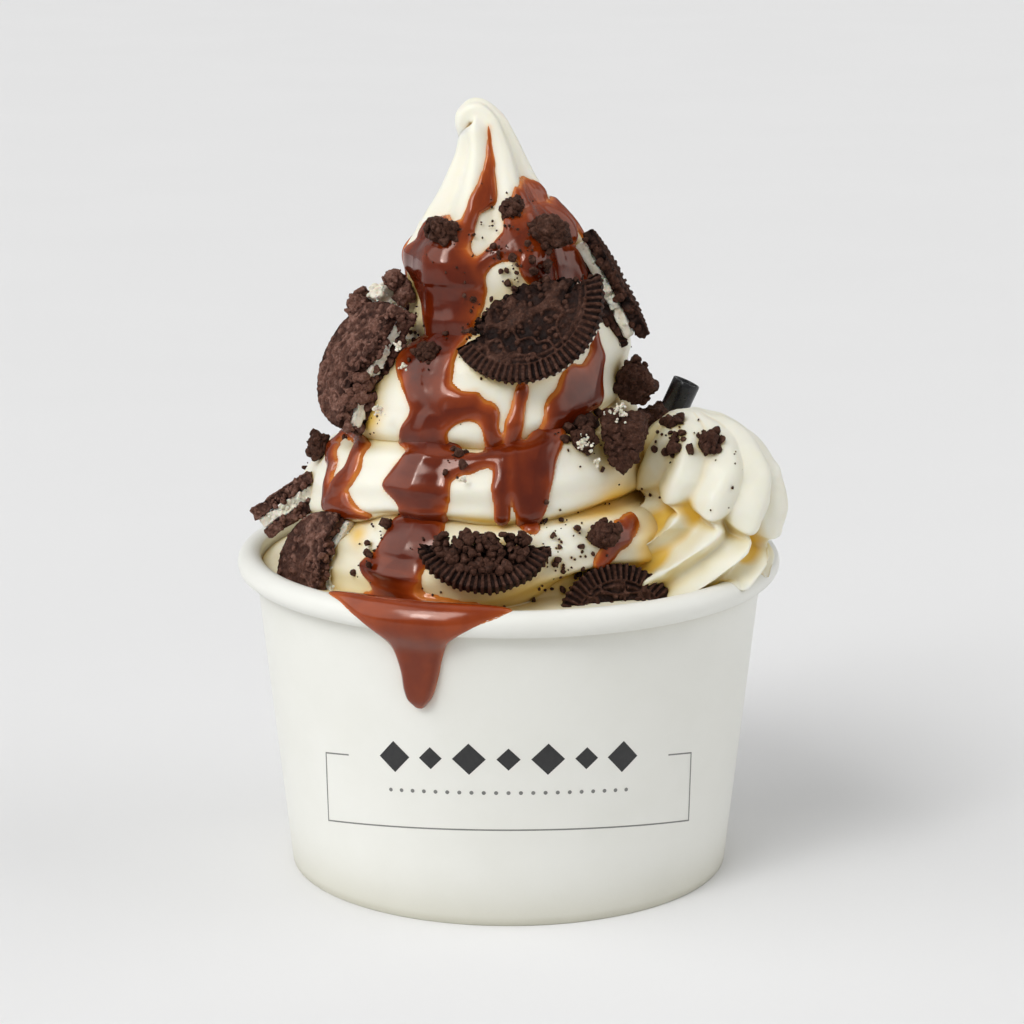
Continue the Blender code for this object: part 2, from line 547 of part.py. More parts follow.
def make_cookie(name, centre, azimuth, elevation, roll, radius, cut, bulge, layers, mats, seed):
    """Makes the layers of one sandwich cookie, outermost first, and returns the room they need."""
    where = placed(centre, azimuth, elevation, roll)
    rng = np.random.default_rng(seed)
    high = 0.0
    for k, kind in enumerate(layers):
        low = high - DEPTHS[kind]
        if kind in "fd":
            edge = outline(radius - 1.4, cut - 0.5, bulge, seed + k, 11)
            body = slab(edge, low, high, "flat", rng)
        else:
            edge = outline(radius, cut, bulge, seed + k, 19)
            form = "crumbled" if kind == "r" else "bordered" if k == 0 else "flat"
            body = slab(edge, low, high, form, rng)
        points = [where @ Vector(p) for p in body[0]]
        label = name
        if len(layers) > 1:
            label = name + ("_filling" if kind in "fd" else "_wafer_" + "ab"[k // 2])
        add_solid(label, points, body[1], mats[kind])
        bottom, high = low, low - LAYER_GAP
    room = outline(radius + 0.9, cut, bulge, seed, 11)
    half = (radius + 0.9) * np.cos(np.arcsin(cut / (radius + 0.9)))
    room[11:, 1] = cut + 2.0 + bulge * (1.0 - (np.clip(room[11:, 0] / half, -1.0, 1.0)) ** 2)
    body = slab(room, bottom - CLEAR, CLEAR if "r" not in layers else 4.0, "flat", rng)
    points = [where @ Vector(p) for p in body[0]]
    return add_solid(name + "_room", points, body[1], mats["w"])


def make_chunk(name, centre, sizes, mat, seed):
    """A broken lump of cookie and the room it needs."""
    rng = np.random.default_rng(seed)
    turn = Matrix.Rotation(rng.uniform(0, 6.28), 3, "Z") @ Matrix.Rotation(rng.uniform(-0.6, 0.6), 3, "X")
    bodies = []
    bumps = rng.uniform(0.76, 1.12, 42)
    for label, grow in ((name, 0.0), (name + "_room", 0.45)):
        bm = bmesh.new()
        bmesh.ops.create_icosphere(bm, subdivisions=2, radius=1.0)
        points = []
        for v, bump in zip(bm.verts, bumps):
            p = Vector([c * s for c, s in zip(v.co * bump, sizes)])
            p = p + p.normalized() * grow
            points.append(Vector(centre) + turn @ p)
        faces = [tuple(v.index for v in f.verts) for f in bm.faces]
        bm.free()
        bodies.append(add_solid(label, points, faces, mat))
    return bodies


def make_wedge(mat):
    """The wedge-shaped lump of cookie and the room it needs."""
    bodies = []
    for label, grow in (("chunk_right_big", 0.0), ("wedge_room", 0.45)):
        bm = bmesh.new()
        for corner in WEDGE:
            p = Vector(corner)
            bm.verts.new(p + p.normalized() * grow)
        bmesh.ops.convex_hull(bm, input=bm.verts)
        bm.verts.index_update()
        points = [Vector(WEDGE_AT) + v.co for v in bm.verts]
        faces = [tuple(v.index for v in f.verts) for f in bm.faces]
        bm.free()
        bodies.append(add_solid(label, points, faces, mat))
    return bodies[1]


def carve(target, cutters):
    """Cut the bodies in a list out of the target and keep its largest piece."""
    group = bpy.data.collections.new(target.name + "_cut")
    bpy.context.scene.collection.children.link(group)
    for cutter in cutters:
        group.objects.link(cutter)
    mod = target.modifiers.new("cut", "BOOLEAN")
    mod.operation = "DIFFERENCE"
    mod.operand_type = "COLLECTION"
    mod.collection = group
    mod.solver = "EXACT"
    bpy.context.view_layer.update()
    graph = bpy.context.evaluated_depsgraph_get()
    mesh = bpy.data.meshes.new_from_object(target.evaluated_get(graph))
    target.modifiers.remove(mod)
    for cutter in cutters:
        group.objects.unlink(cutter)
    bpy.data.collections.remove(group)
    target.data = mesh
    keep_largest(target)


def keep_largest(target):
    """Drop loose scraps and weld points that fall together."""
    bm = bmesh.new()
    bm.from_mesh(target.data)
    bmesh.ops.remove_doubles(bm, verts=bm.verts, dist=0.000005)
    bmesh.ops.dissolve_degenerate(bm, edges=bm.edges, dist=0.000002)
    bmesh.ops.triangulate(bm, faces=bm.faces)
    left = set(bm.verts)
    pieces = []
    while left:
        stack = [left.pop()]
        piece = {stack[0]}
        while stack:
            for edge in stack.pop().link_edges:
                for v in edge.verts:
                    if v in left:
                        left.discard(v)
                        piece.add(v)
                        stack.append(v)
        pieces.append(piece)
    pieces.sort(key=len)
    scraps = [v for piece in pieces[:-1] for v in piece]
    if scraps:
        bmesh.ops.delete(bm, geom=scraps, context="VERTS")
    bm.to_mesh(target.data)
    bm.free()


def drop(objects):
    for obj in objects:
        bpy.data.objects.remove(obj)


for old in list(bpy.data.objects):
    bpy.data.objects.remove(old)

paper = material("paper", (0.86, 0.86, 0.83), 0.45)
cream = material("soft_serve", (0.90, 0.87, 0.76), 0.38)
whip = material("whipped_cream", (0.93, 0.92, 0.86), 0.45)
sauce = material("chocolate_sauce", (0.16, 0.035, 0.012), 0.12)
wafer = material("cocoa_wafer", (0.055, 0.024, 0.017), 0.7)
filling = material("cookie_filling", (0.86, 0.82, 0.74), 0.6)
black = material("straw_plastic", (0.012, 0.012, 0.012), 0.3)

cup = make_cup(paper)
guard = make_cup_guard(paper)
ice_cream = make_ice_cream(cream)
whipped = make_whipped(whip)
whipped_room = make_whipped_room(whip)
spill = make_spill(sauce, 0.0, "sauce_overflow")
spill_room = make_spill(sauce, 0.35, "spill_room")
straw = make_straw(black)
straw_room = make_straw_room(black)

rooms = [make_wedge(wafer)]
for number, row in enumerate(COOKIES):
    rooms.append(make_cookie(*row, {"w": wafer, "r": wafer, "f": filling, "d": filling}, 40 + 7 * number))
for number, (name, angle, height, lift, sizes) in enumerate(CHUNKS):
    spot = swirl(np.array([angle]), np.array([float(height)]))[0]
    spot = spot + swirl_normal(np.array([angle]), np.array([float(height)]))[0] * lift
    rooms.append(make_chunk(name, spot, sizes, wafer, 300 + number)[1])
for number, row in enumerate(PLACED_CHUNKS):
    rooms.append(make_chunk(*row, wafer, 350 + number)[1])

carve(whipped, [guard, straw_room] + rooms)
carve(ice_cream, [guard, whipped_room, spill_room, straw_room] + rooms)
drop(rooms + [guard, whipped_room, spill_room, straw_room])
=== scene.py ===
"""Looks of the cookies and cream sundae. Tables are in millimetres, the scene is in metres."""
import bmesh
import bpy
import numpy as np
from mathutils import Matrix, Quaternion, Vector


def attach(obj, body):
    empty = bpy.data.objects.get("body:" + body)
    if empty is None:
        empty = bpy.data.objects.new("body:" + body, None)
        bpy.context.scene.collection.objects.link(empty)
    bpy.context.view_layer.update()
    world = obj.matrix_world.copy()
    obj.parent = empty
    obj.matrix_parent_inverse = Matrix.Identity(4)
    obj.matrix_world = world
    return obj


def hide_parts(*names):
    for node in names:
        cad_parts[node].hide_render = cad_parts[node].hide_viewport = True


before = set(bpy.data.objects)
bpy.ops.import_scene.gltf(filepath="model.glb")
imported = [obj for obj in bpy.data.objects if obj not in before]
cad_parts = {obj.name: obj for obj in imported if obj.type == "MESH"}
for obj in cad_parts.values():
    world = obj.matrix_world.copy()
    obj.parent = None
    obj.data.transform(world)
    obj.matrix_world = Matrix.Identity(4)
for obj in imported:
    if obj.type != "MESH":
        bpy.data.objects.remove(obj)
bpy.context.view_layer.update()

MM = 0.001
# Cup: radii of base, wall's top and rolled rim, thickness of wall and foot ring, height under the bottom
BASE_R, WALL_TOP_R, ROLL_R, WALL, FOOT, RECESS = 46.7, 53.6, 2.73, 0.9, 1.8, 3.5
# The rolled rim's middle as radius and height, and the angles at which it starts and ends
ROLL_AT, ROLL_START, ROLL_END = (54.77, 66.07), -115, 139.3

# Swirl: height parameter, centre x, centre height, outer radius
SWIRL = (
    (66, -1, 66, 43.6), (72, -2.4, 72, 43.2), (78, -3.8, 78, 41.2), (86, -4.6, 86, 37.4), (96, -4, 96, 33.5),
    (106, -2.6, 106, 29), (116, -0.8, 116, 22.6), (124, -1.1, 124, 19.4), (132, -2.9, 132, 17.6),
    (137, -2.9, 137, 14.8), (142, -3.4, 142, 11), (147, -3.8, 147, 8.4), (152, -4.2, 151.6, 6.6),
    (156, -4.8, 155.2, 5.4), (160, -5.9, 158.4, 4.5), (163, -7.2, 159.9, 3.5), (165, -8.4, 159.4, 2.7),
    (167, -9, 157.6, 2.1), (169.5, -9.3, 155.4, 1.1),
)
T_LOW, T_HIGH = 66.4, 169.5
# Coils: heights where they meet at the front, depth of the creases, and of the lengthwise flutes
COIL_EDGES = (48, 64, 80, 98, 118, 142, 170)
CREASE = ((60, 5), (80, 5), (98, 4.5), (116, 3), (128, 1.2), (138, 0.3), (145, 0))
FLUTES = ((112, 0), (124, 0.035), (134, 0.09), (148, 0.13), (158, 0.13), (168, 0))
FLUTE_COUNT = 6
# Where a fold runs higher or lower (angle, height, widths, part of a coil), and hollows or bulges
FOLDS = ((-60, 72, 28, 7, 0.42), (-118, 82, 26, 6, 0.2), (-90, 97, 18, 6, -0.12))
DENTS = ((-139, 71, 13, 6, 3), (-42, 83.6, 18, 3, 2.6), (-6, 113.8, 24, 3.6, -2.6))
FILL_LEVEL, FILL_BOTTOM = 65.4, 4.7

# Chocolate sauce on the soft serve. The main run is rows of (height, left angle, right angle)
RUN = (
    (66, -124, -94), (69.5, -129, -111), (71.5, -133.5, -110.5), (74.5, -126, -107), (77, -124.5, -104.5),
    (80, -123.5, -104), (83, -119, -103), (86, -119, -102.5), (88.4, -126, -102), (90.5, -124, -102),
    (92.5, -121.5, -101), (95.5, -128, -101), (98, -127.5, -105), (101, -126.5, -107), (104, -124, -106),
    (107, -132, -108), (109, -141, -110), (112, -146, -111.5), (116, -146, -111), (119, -141, -109.5),
    (122, -145, -106), (125, -160, -102), (128, -178, -99.5), (131, -178, -101), (134, -170, -108),
    (138, -122, -107), (141, -119, -103), (143, -116, -86), (146, -110, -81), (150, -101, -79),
    (155, -90, -77), (159, -73, -66),
)
# Each other stream is a row of (angle, height, half width)
STREAMS = (
    ((-124, 136.5, 3.4), (-142, 136.4, 3.8), (-158, 136, 3.8)),
    ((-130, 130.5, 4.5), (-146, 130.5, 4.3), (-155, 130, 4)),
    ((-66, 138, 4), (-80, 134.6, 2.6), (-91, 133, 1.6), (-103, 130.6, 2)),
    ((-60, 143.2, 1.6), (-48, 144, 2.6), (-30, 144.6, 3), (-20, 144.4, 2.6)),
    ((-60, 138, 4), (-44, 138, 4.8), (-26, 138, 4.6)),
    ((-62, 131, 4), (-40, 131, 5), (-26, 130, 4), (-30, 124, 2.6), (-34, 118, 1.2), (-37, 112, 1.4),
     (-46, 107.5, 3.6), (-56, 106.5, 4.3), (-62, 104, 4.2), (-64, 100, 4), (-68, 96.5, 3.2), (-74, 92.5, 3.6),
     (-76, 88.5, 3.5), (-76.5, 84, 2.4), (-77, 80.5, 2.2)),
    ((-84, 93, 2.2), (-85, 89, 1.8), (-85, 85, 1.3)),
    ((-104, 92, 2.4), (-96, 92.3, 1.3), (-88, 93.4, 1.5), (-80, 94.6, 1.8), (-75, 94.4, 1.4)),
    ((-108, 104.8, 2.8), (-99, 105.5, 2), (-92, 104.4, 1.8), (-89.5, 100, 1.6), (-89, 95, 1.6)),
    ((-80, 107.5, 1.6), (-82, 103, 1.9), (-81, 98, 1.9), (-80, 95, 2.2), (-79.5, 90, 2.2)),
    ((-172, 94.4, 1.5), (-160, 94.8, 1.6), (-150, 93.8, 1.6), (-143, 91.6, 2), (-142, 89, 2.2),
     (-146, 86.5, 2), (-150, 84, 2)),
    ((-172, 93, 1.4), (-168, 90.8, 1.2), (-162, 89.6, 1.2), (-155, 88, 1.3), (-152, 85.5, 1.5),
     (-152, 83.5, 1.8)),
    ((-150, 83.6, 1.8), (-142, 83.8, 2.2), (-134, 82.8, 1.6)),
    ((-42, 78.8, 0.9), (-49, 77.8, 1.2), (-54, 77, 1.3), (-59, 75, 1.2)),
    ((-131, 66.8, 1.2), (-122, 67.8, 2), (-108, 67.6, 1.8), (-97, 67.8, 1.4)),
    ((0, 140, 3), (12, 131, 5), (20, 120, 4.4), (24, 108, 5.6), (30, 96, 4.4), (34, 84, 3)),
    ((70, 146, 1.6), (84, 137, 4), (98, 126, 6), (104, 114, 5), (98, 102, 6.4), (106, 90, 5), (100, 80, 4)),
    ((150, 138, 3), (158, 129, 5), (150, 117, 4), (156, 105, 5.2), (148, 92, 4.2), (150, 82, 2.6)),
)

SPILL_ANGLE, SPILL_LEAD = -109.6, 3.6     # the middle of the spill, and what lies before its first row
# Spill over the rim: way along the rim and wall, width to the left and to the right, thickness
SPILL = (
    (0, -8, 10, 0.9), (3, -12, 14.5, 1.2), (6, -17.5, 18, 1.3), (8.4, -21, 19.6, 1.3),
    (10.8, -15.9, 17.2, 1.4), (12.6, -12.7, 13.2, 1.5), (14.6, -9.5, 9.6, 1.7), (17, -7.4, 7.5, 2),
    (19.5, -6.2, 6.2, 2.2), (22.5, -5, 5.1, 2.3), (26, -4, 4.3, 2.4), (29.4, -3.5, 3.3, 2.7),
    (31.5, -2.9, 2.5, 2.5), (32.8, -2.3, 1.9, 2.1),
)

# Whipped cream: height parameter, centre x, centre y, radius
ROSETTE = (
    (54, 32, -18, 12), (58, 33, -18.5, 17), (63, 34.5, -19, 18.5), (68, 36, -18.5, 18.9),
    (73, 38.5, -16.8, 18), (78, 40.4, -14.8, 17.3), (83, 41, -14, 17), (88, 41, -13.6, 15.6),
    (92, 40.4, -13.2, 13.8), (96, 39.4, -13, 11), (99, 38.2, -12.8, 7.2), (100.6, 37.4, -12.6, 3),
)
# The upper tier's foot: mean height, tilt, lowest side, and depth of the notch under it
TIER_EDGE, TIER_TILT, TIER_TURN, TIER_NOTCH = 79, 5.5, 20, 2.2
# Lobes round each tier; the upper tier's lobes and the lower one's ridges: depth, degrees of twist per mm
LOBES, LOBE_DEPTH, RIDGE_DEPTH, LOBE_TWIST, RIDGE_TWIST = 9, 0.16, 0.25, 2.2, 4

STRAW_R, STRAW_WALL, STRAW_FOOT, STRAW_TOP = 3, 0.5, (20, 9, 62), (38, 10, 102)

# Cookie layers: wafer, wafer under rubble, filling, double filling; the wafers' pattern: depth, notches, bars
DEPTHS, LAYER_GAP = {"w": 2.7, "r": 2.7, "f": 1.9, "d": 4.4}, 0.15
RELIEF, TEETH, BAR_PITCH = 0.72, 0.32, 1.5
# Name, centre, azimuth, elevation and roll, radius, where the break cuts it and bulges, layers
COOKIES = (
    ("cookie_front_high", (2.9, -24.6, 125.1), -111, 30, -56, 16.7, -1.8, 5, "wf"),
    ("cookie_right_high", (22.8, -12.5, 127), -5, 29, -5, 13.2, -3.8, 0, "wfw"),
    ("cookie_left_high", (-29, -3, 118), -172, -29, 180, 6.6, 0.8, 0, "wdw"),
    ("cookie_left_big", (-29.9, -20, 111.6), -140, 26, 172, 13.8, 2, -2.2, "wfw"),
    ("cookie_rim", (-48.2, -7, 82.2), 165, 55, 180, 7.9, 1, 0, "wfw"),
    ("cookie_left_low", (-38.8, -25.8, 68.8), -133, 14, 173, 13, 0.8, 0, "wfw"),
    ("cookie_front_low", (-4.8, -39.8, 81.4), -90, 50, -90, 14, -3.8, 0, "r"),
    ("cookie_right_low", (23, -40, 61), -68, 20, 88, 13.5, 2, 0, "w"),
    ("cookie_back_high", (5, 28, 113), 80, 30, -70, 17, 2, 0, "wfw"),
    ("cookie_back_low", (-21, 43, 73), 116, 30, 70, 14, 1, 0, "wfw"),
)
# Lumps on the swirl: name, angle, height, lift and half sizes; then lumps at a place
CHUNKS = (
    ("chunk_crown_left", -129, 137, 1, (4.4, 3.2, 3.4)),
    ("chunk_crown_front", -68, 142, 0.6, (2.6, 2.2, 2.6)),
    ("chunk_crown_right", -52, 136.5, 2, (4.9, 4.4, 4.6)),
    ("chunk_mid_left", -125, 111, 1.6, (3, 2.6, 2.2)),
    ("chunk_right_high", -21, 107.5, 3.2, (4.4, 4.4, 4.4)),
    ("chunk_low_right", -57, 78, 2, (3.6, 3.2, 3.2)),
    ("chunk_left_stream", -172, 89, 1.2, (2.6, 2.4, 3.2)),
    ("chunk_back_crown", 118, 134, 1.6, (4.6, 3.6, 3.6)),
    ("chunk_back_right", 34, 98, 2.6, (5.4, 4.2, 4.4)),
    ("chunk_back_left", 168, 104, 2.6, (5, 4, 4.4)),
    ("chunk_back_foot", 70, 76, 2.2, (4.4, 3.8, 3.4)),
)
PLACED_CHUNKS = (
    ("chunk_on_cream", (41, -23, 95.5), (3.2, 2.8, 2.8)),
    ("chunk_by_cream", (31, -9, 97), (4.6, 3.8, 4)),
    ("chunk_right_side", (15.2, -28.6, 97.9), (2.6, 2.5, 3)),
)
WEDGE_AT = (23, -27, 97.3)          # a wedge-shaped lump and its corners
WEDGE = (
    (-5, -2.6, 4.6), (4.2, -4.4, 4.4), (-4, 5, 6.8), (6.2, 3.4, 6.4), (5.4, -2.6, -1), (6, 4, 0.5),
    (0.4, -3.6, -8.4), (1.2, 1.8, -7), (-3.6, -3.4, -2.6), (-4.6, 3.8, 0),
)


# ---------------- numbers
def unit(a):
    return np.clip(a, 0, 1)


def ease(a):
    return unit(a) ** 2 * (3 - 2 * unit(a))


def curve(x, table, k):
    """Monotone cubic through column k of a table over its first column."""
    table = np.array(table, float)
    xs, ys = table[:, 0], table[:, k]
    step = np.diff(xs)
    slope = np.diff(ys) / step
    grad = np.zeros(len(xs))
    grad[0], grad[-1] = slope[0], slope[-1]
    for i in range(1, len(xs) - 1):
        if slope[i - 1] * slope[i] > 0:
            w1, w2 = 2 * step[i] + step[i - 1], step[i] + 2 * step[i - 1]
            grad[i] = (w1 + w2) / (w1 / slope[i - 1] + w2 / slope[i])
    x = np.clip(x, xs[0], xs[-1])
    i = np.clip(np.searchsorted(xs, x, side="right") - 1, 0, len(step) - 1)
    t = (x - xs[i]) / step[i]
    start = (1 + 2 * t) * (1 - t) ** 2 * ys[i] + t * (1 - t) ** 2 * step[i] * grad[i]
    end = t * t * (3 - 2 * t) * ys[i + 1] + t * t * (t - 1) * step[i] * grad[i + 1]
    return start + end


def hashed(i, seed):
    """A random number in 0..1 for each cell of whole coordinates."""
    h = i[..., 0] * 374761393 + i[..., 1] * 668265263 + i[..., 2] * 1442695041 + seed * 974634777
    h = h & 0xFFFFFFFF
    h = ((h ^ (h >> 13)) * 1274126177) & 0xFFFFFFFF
    h = ((h ^ (h >> 15)) * 1103515245) & 0xFFFFFFFF
    return ((h ^ (h >> 16)) & 0xFFFFFF) / 16777216


def noise(p, seed=0):
    """Smooth noise in -1..1 with features one unit wide."""
    i = np.floor(p).astype(np.int64)
    f = ease(p - i)
    out = 0
    for corner in np.ndindex(2, 2, 2):
        weight = np.prod(np.abs(1 - np.array(corner) - f), -1)
        out = out + weight * hashed(i + np.array(corner), seed)
    return out * 2 - 1


def fbm(p, octaves, seed=0):
    return sum(noise(p * 2 ** k + 17.3 * k, seed + k) * 0.5 ** k for k in range(octaves))


def cells(p, seed=0):
    """Distance to the nearest of one random point for each unit cell."""
    i = np.floor(p).astype(np.int64)
    best = np.full(p.shape[:-1], 9)
    for step in np.ndindex(3, 3, 3):
        c = i + np.array(step) - 1
        spot = np.stack([hashed(c, seed + k) for k in (1, 2, 3)], -1) + c
        best = np.minimum(best, np.linalg.norm(spot - p, axis=-1))
    return best


def around(r, angle, z):
    """Points at radii r, angles in radians and heights z."""
    return np.stack(np.broadcast_arrays(r * np.cos(angle), r * np.sin(angle), z), -1)


def direction(azimuth, elevation):
    """Unit vector from two angles in degrees."""
    az, el = np.radians([azimuth, elevation])
    return np.array([np.cos(el) * np.cos(az), np.cos(el) * np.sin(az), np.sin(el)])


# ---------------- meshes
def add_mesh(name, points, quads, mat, tris=(), smooth=True, **values):
    """A mesh from points in millimetres; values are named numbers for each point that its material reads."""
    mesh = bpy.data.meshes.new(name)
    faces = [*np.asarray(quads).tolist(), *np.asarray(tris).tolist()]
    mesh.from_pydata(np.reshape(points, (-1, 3)) * MM, [], faces, not smooth)
    mesh.validate()
    for key, value in values.items():
        mesh.attributes.new(key, "FLOAT", "POINT").data.foreach_set("value", value.ravel())
    mesh.materials.append(MAT[mat])
    obj = bpy.data.objects.new(name, mesh)
    bpy.context.scene.collection.objects.link(obj)
    return obj


def joined(parts):
    """One list of points and one of faces from several."""
    starts = np.cumsum([0] + [len(p) for p, _ in parts[:-1]])
    return np.concatenate([p for p, _ in parts]), np.concatenate([f + b for (_, f), b in zip(parts, starts)])


def grid_quads(rows, cols, wrap):
    """Quads of a grid of rows by cols, wrapped round its columns or not."""
    r = np.arange(rows - 1)[:, None]
    c = np.arange(cols if wrap else cols - 1)[None, :]
    d = (c + 1) % cols
    return np.stack([r * cols + c, r * cols + d, (r + 1) * cols + d, (r + 1) * cols + c], -1).reshape(-1, 4)


def capped(grid):
    """Points, quads and triangles of a wrapped grid closed by a point at each end."""
    rows, cols = grid.shape[:2]
    points = np.concatenate([grid.reshape(-1, 3), grid[0].mean(0)[None], grid[-1].mean(0)[None]])
    i = np.arange(cols)
    j = (i + 1) % cols
    low, top = 0 * i + rows * cols, (rows - 1) * cols
    tris = np.concatenate([np.stack([low, j, i], -1), np.stack([top + i, top + j, low + 1], -1)])
    return points, grid_quads(rows, cols, True), tris


def grid_normals(grid, wrap):
    """Unit normals of a grid of points, from its neighbours."""
    if wrap:
        du = np.roll(grid, -1, 1) - np.roll(grid, 1, 1)
    else:
        du = np.gradient(grid, axis=1)
    n = np.cross(du, np.gradient(grid, axis=0))
    return n / np.maximum(np.linalg.norm(n, axis=-1, keepdims=True), 1e-9)


def ride(obj, slot, *nodes):
    """Every piece rides on the one body; it may stand for CAD nodes."""
    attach(obj, "root")
    if nodes:
        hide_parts(*nodes)


# ---------------- materials
WHITE = (1, 1, 1)


def feed(tree, socket, value):
    """Links a socket to another node's output, or gives it a value."""
    if hasattr(value, "is_output"):
        tree.links.new(value, socket)
    else:
        socket.default_value = value


def add_node(tree, kind, *values, **inputs):
    """A new node with values for its inputs, in order or by name, with _ for a space."""
    node = tree.nodes.new(kind)
    for socket, value in zip(node.inputs, values):
        feed(tree, socket, value)
    for key, value in inputs.items():
        feed(tree, node.inputs[key.replace("_", " ")], value)
    return node


class Paint:
    """A Principled material and short calls that put texture nodes on its sockets. Sizes are in mm."""

    def __init__(self, name, **sockets):
        self.mat = bpy.data.materials.new(name)
        self.mat.use_nodes = True
        self.tree = self.mat.node_tree
        self.shader = self.tree.nodes["Principled BSDF"]
        for key, value in sockets.items():
            self.set(key.replace("_", " "), value)
        self.coords = self.node("ShaderNodeTexCoord").outputs["Object"]
        self.height = None

    def node(self, kind, *values, **inputs):
        return add_node(self.tree, kind, *values, **inputs)

    def set(self, socket, value):
        feed(self.tree, self.shader.inputs[socket], value)

    def noise(self, size, detail=3, rough=0.55):
        n = self.node("ShaderNodeTexNoise", Vector=self.coords, Scale=1000 / size)
        feed(self.tree, n.inputs["Detail"], detail)
        feed(self.tree, n.inputs["Roughness"], rough)
        return n.outputs["Fac"]

    def cell(self, size):
        return self.node("ShaderNodeTexVoronoi", Vector=self.coords, Scale=1000 / size).outputs["Distance"]

    def attribute(self, name):
        n = self.node("ShaderNodeAttribute")
        n.attribute_name = name
        return n.outputs["Fac"]

    def occlusion(self, distance):
        n = self.node("ShaderNodeAmbientOcclusion", Distance=distance * MM)
        n.samples = 6
        return n.outputs["AO"]

    def ramp(self, fac, *stops):
        """Colour ramp; each stop is (position, colour or grey)."""
        n = self.node("ShaderNodeValToRGB", Fac=fac)
        ends = n.color_ramp.elements
        while len(ends) < len(stops):
            ends.new(0.5)
        for end, (pos, value) in zip(ends, stops):
            end.position = pos
            end.color = (*value, 1) if isinstance(value, tuple) else (value, value, value, 1)
        return n.outputs["Color"]

    def mottle(self, size, low, high, detail=3, spread=0.2):
        """Noise between two colours or greys; the spread is half the width of the change."""
        return self.ramp(self.noise(size, detail), (0.5 - spread, low), (0.5 + spread, high))

    def product(self, a, b):
        n = self.node("ShaderNodeMath", a, b)
        n.operation = "MULTIPLY"
        return n.outputs[0]

    def mix(self, fac, a, b, kind="MIX"):
        n = self.node("ShaderNodeMix")
        n.data_type, n.blend_type = "RGBA", kind
        for key, value in ((0, fac), (6, a), (7, b)):
            feed(self.tree, n.inputs[key], (*value, 1) if isinstance(value, tuple) else value)
        return n.outputs[2]

    def times(self, a, b, fac=1):
        return self.mix(fac, a, b, "MULTIPLY")

    def bump(self, height, depth, strength):
        n = self.node("ShaderNodeBump", Height=height, Distance=depth * MM, Strength=strength)
        if self.height is not None:
            self.tree.links.new(self.height, n.inputs["Normal"])
        self.height = n.outputs["Normal"]
        self.set("Normal", self.height)

    def grain(self, size, depth, strength, *detail):
        self.bump(self.noise(size, *detail), depth, strength)


def paper():
    p = Paint("paper", Coat_Weight=0.1, Coat_Roughness=0.3)
    tone = p.mottle(18, (0.80, 0.80, 0.745), (0.825, 0.825, 0.775), spread=0.15)
    # Painted shade: the paper turns darker and warmer where ambient occlusion finds it enclosed, as under the
    # rolled rim.
    p.set("Base Color", p.times(tone, p.ramp(p.occlusion(14), (0.35, (0.74, 0.72, 0.64)), (0.9, WHITE))))
    p.set("Roughness", p.mottle(9, 0.38, 0.48, 4))
    p.grain(26, 0.25, 0.25, 2)
    p.grain(0.35, 0.012, 0.5)
    return p.mat


def ink(name, dark, light, rough, **sockets):
    p = Paint(name, **sockets)
    p.set("Base Color", p.mottle(1.2, dark, light))
    p.set("Roughness", p.mottle(1.2, rough - 0.04, rough + 0.04))
    p.grain(0.35, 0.01, 0.5)
    return p.mat


def cream(name, size, low, high, far, near, radius):
    """A creamy paint, darker and warmer where it is shaded from far or near, and its colour so far."""
    p = Paint(name, Subsurface_Weight=0.3, Subsurface_Scale=0.003, Subsurface_Radius=radius, IOR=1.4)
    tone = p.times(p.mottle(size, low, high), p.ramp(p.occlusion(14), (0.3, far), (0.85, WHITE)))
    return p, p.times(tone, p.ramp(p.occlusion(5), (0.1, near), (0.6, WHITE)))


def soft_serve():
    """Painted shade: golden in its folds and at the golden places of painted shade and glow; stained orange
    at the edges of the sauce.
    """
    p, tone = cream("soft_serve", 14, (0.855, 0.83, 0.705), (0.885, 0.868, 0.765),
                    (0.86, 0.74, 0.47), (0.80, 0.60, 0.24), (1, 0.78, 0.42))
    # Painted shade: the deepest creases turn golden in patches, standing for the shade in the folds.
    crease_shade = p.product(p.ramp(p.attribute("crease"), (0.15, 0), (0.9, 0.75)),
                       p.ramp(p.noise(11, 2), (0.45, 0.25), (0.62, 1)))
    tone = p.mix(crease_shade, tone, (0.66, 0.42, 0.075))
    # Painted shade and glow: the golden places get their own deep gold.
    tone = p.mix(p.attribute("golden_shade"), tone, (0.86, 0.54, 0.07))
    p.set("Base Color", p.mix(p.attribute("stain"), tone, (0.86, 0.45, 0.10)))
    p.set("Roughness", p.mottle(5, 0.28, 0.44, 4))
    p.grain(7, 0.25, 0.3)
    p.grain(1.1, 0.05, 0.35, 4)
    return p.mat


def whipped():
    """Painted shade: golden in its valleys."""
    p, tone = cream("whipped_cream", 10, (0.82, 0.80, 0.68), (0.85, 0.835, 0.735),
                    (0.86, 0.76, 0.47), (0.80, 0.62, 0.26), (1, 0.8, 0.5))
    # Painted shade: the valleys turn golden where they lie in shade.
    crease_shade = p.ramp(p.attribute("crease"), (0.15, 0), (0.65, 0.95))
    p.set("Base Color", p.mix(crease_shade, tone, (0.74, 0.47, 0.06)))
    p.set("Roughness", p.mottle(4, 0.36, 0.48, 4))
    p.grain(2.5, 0.12, 0.4, 4)
    p.grain(0.6, 0.03, 0.4)
    return p.mat


